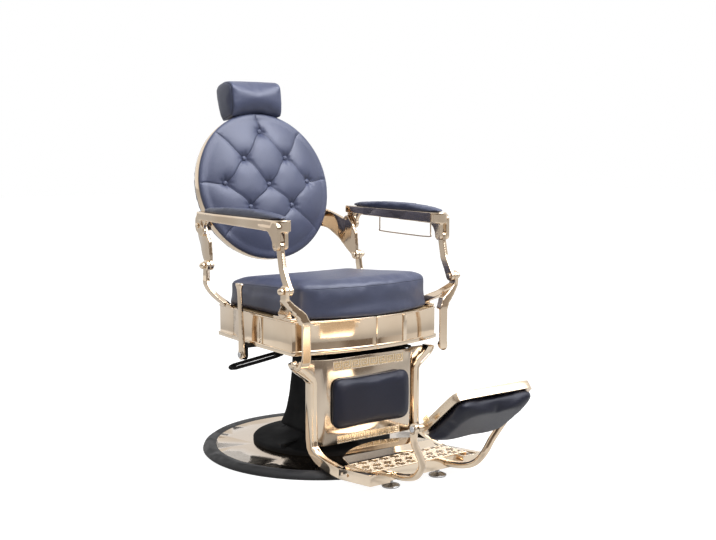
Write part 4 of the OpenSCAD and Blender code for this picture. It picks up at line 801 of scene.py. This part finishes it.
# Room that leather and metal mirror: bright behind, with upright dark flags and one soft box in front
room = {"bright": (0.5, 0.68, 0.54), "ambient": 0.23,
        "stops": ((0.12, (0.24, 0.21, 0.19)), (0.42, (0.56, 0.53, 0.50)), (0.68, (1.0, 1.0, 1.0))),
        "flags": 5.0, "flagTurn": 0.6, "flagEdge": (0.35, 0.75), "flagShare": 0.8, "flagTop": (0.5, 0.25),
        "flagFade": (0.3, 0.0), "flagColour": (0.16, 0.12, 0.09),
        "boxAt": (0.30, -0.62, 0.725), "boxEdge": (0.80, 0.97), "boxColour": (7.5, 7.6, 7.8)}
world = bpy.context.scene.world or bpy.data.worlds.new("studio")
bpy.context.scene.world = world
world.use_nodes = True
sky = Nodes(world.node_tree)
sky.tree.nodes.clear()
way = sky.node("TexCoord", output="Generated")
toBright = sky.node("VectorMath", {"operation": "DOT_PRODUCT"}, {0: way, 1: room["bright"]}, "Value")
wall = sky.node("ValToRGB", None, {"Fac": sky.ranged(toBright, -1.0, 1.0)})
stops = wall.socket.node.color_ramp.elements
stops.new(0.5)
for stop, (place, colour) in zip(stops, room["stops"]):
    stop.position, stop.color = place, (*colour, 1)

parts = sky.node("SeparateXYZ", None, {0: way}).socket.node.outputs
wayX, wayY, wayZ = (Wire(sky, part) for part in parts)
azimuth = sky.node("Math", {"operation": "ARCTAN2"}, {0: wayY, 1: wayX})
wave = sky.node("Math", {"operation": "SINE"}, {0: azimuth * room["flags"] + room["flagTurn"]})
flag = sky.ranged(wave, *room["flagEdge"], 0.0, room["flagShare"])
shade = flag * (sky.ranged(wayZ, *room["flagTop"]) * sky.ranged(toBright, *room["flagFade"]))
wall = sky.mixed(shade, wall, room["flagColour"])

toBox = sky.node("VectorMath", {"operation": "DOT_PRODUCT"}, {0: way, 1: room["boxAt"]}, "Value")
glow = sky.node("MapRange", {"interpolation_type": "SMOOTHSTEP"}, {
    "Value": toBox, "From Min": room["boxEdge"][0], "From Max": room["boxEdge"][1]})
wall = sky.mixed(glow, wall, room["boxColour"])
mirrored = sky.node("LightPath", output="Is Glossy Ray") + sky.node("LightPath", output="Is Transmission Ray")
strength = sky.ranged(mirrored, 0.0, 1.0, room["ambient"], 1.0)
lit = sky.node("Background", None, {"Color": wall, "Strength": strength})
white = sky.node("Background", None, {"Color": (1, 1, 1), "Strength": 1.0})
toCamera = sky.node("LightPath", output="Is Camera Ray")
shown = sky.node("MixShader", None, {0: toCamera, 1: lit, 2: white})
ending = sky.tree.nodes.new("ShaderNodeOutputWorld")
sky.plug(ending.inputs["Surface"], shown)

eye = {"spot": (-1.8639, -2.7338, 0.925), "turn": -36.2056, "tilt": 6.6587, "lens": 55.77}
bpy.ops.object.camera_add(location=eye["spot"],
                          rotation=(math.radians(90 - eye["tilt"]), 0, math.radians(eye["turn"])))
camera = bpy.context.object
camera.data.lens = eye["lens"]
bpy.context.scene.camera = camera
bpy.context.scene.view_settings.view_transform = "Standard"
print("stage set")
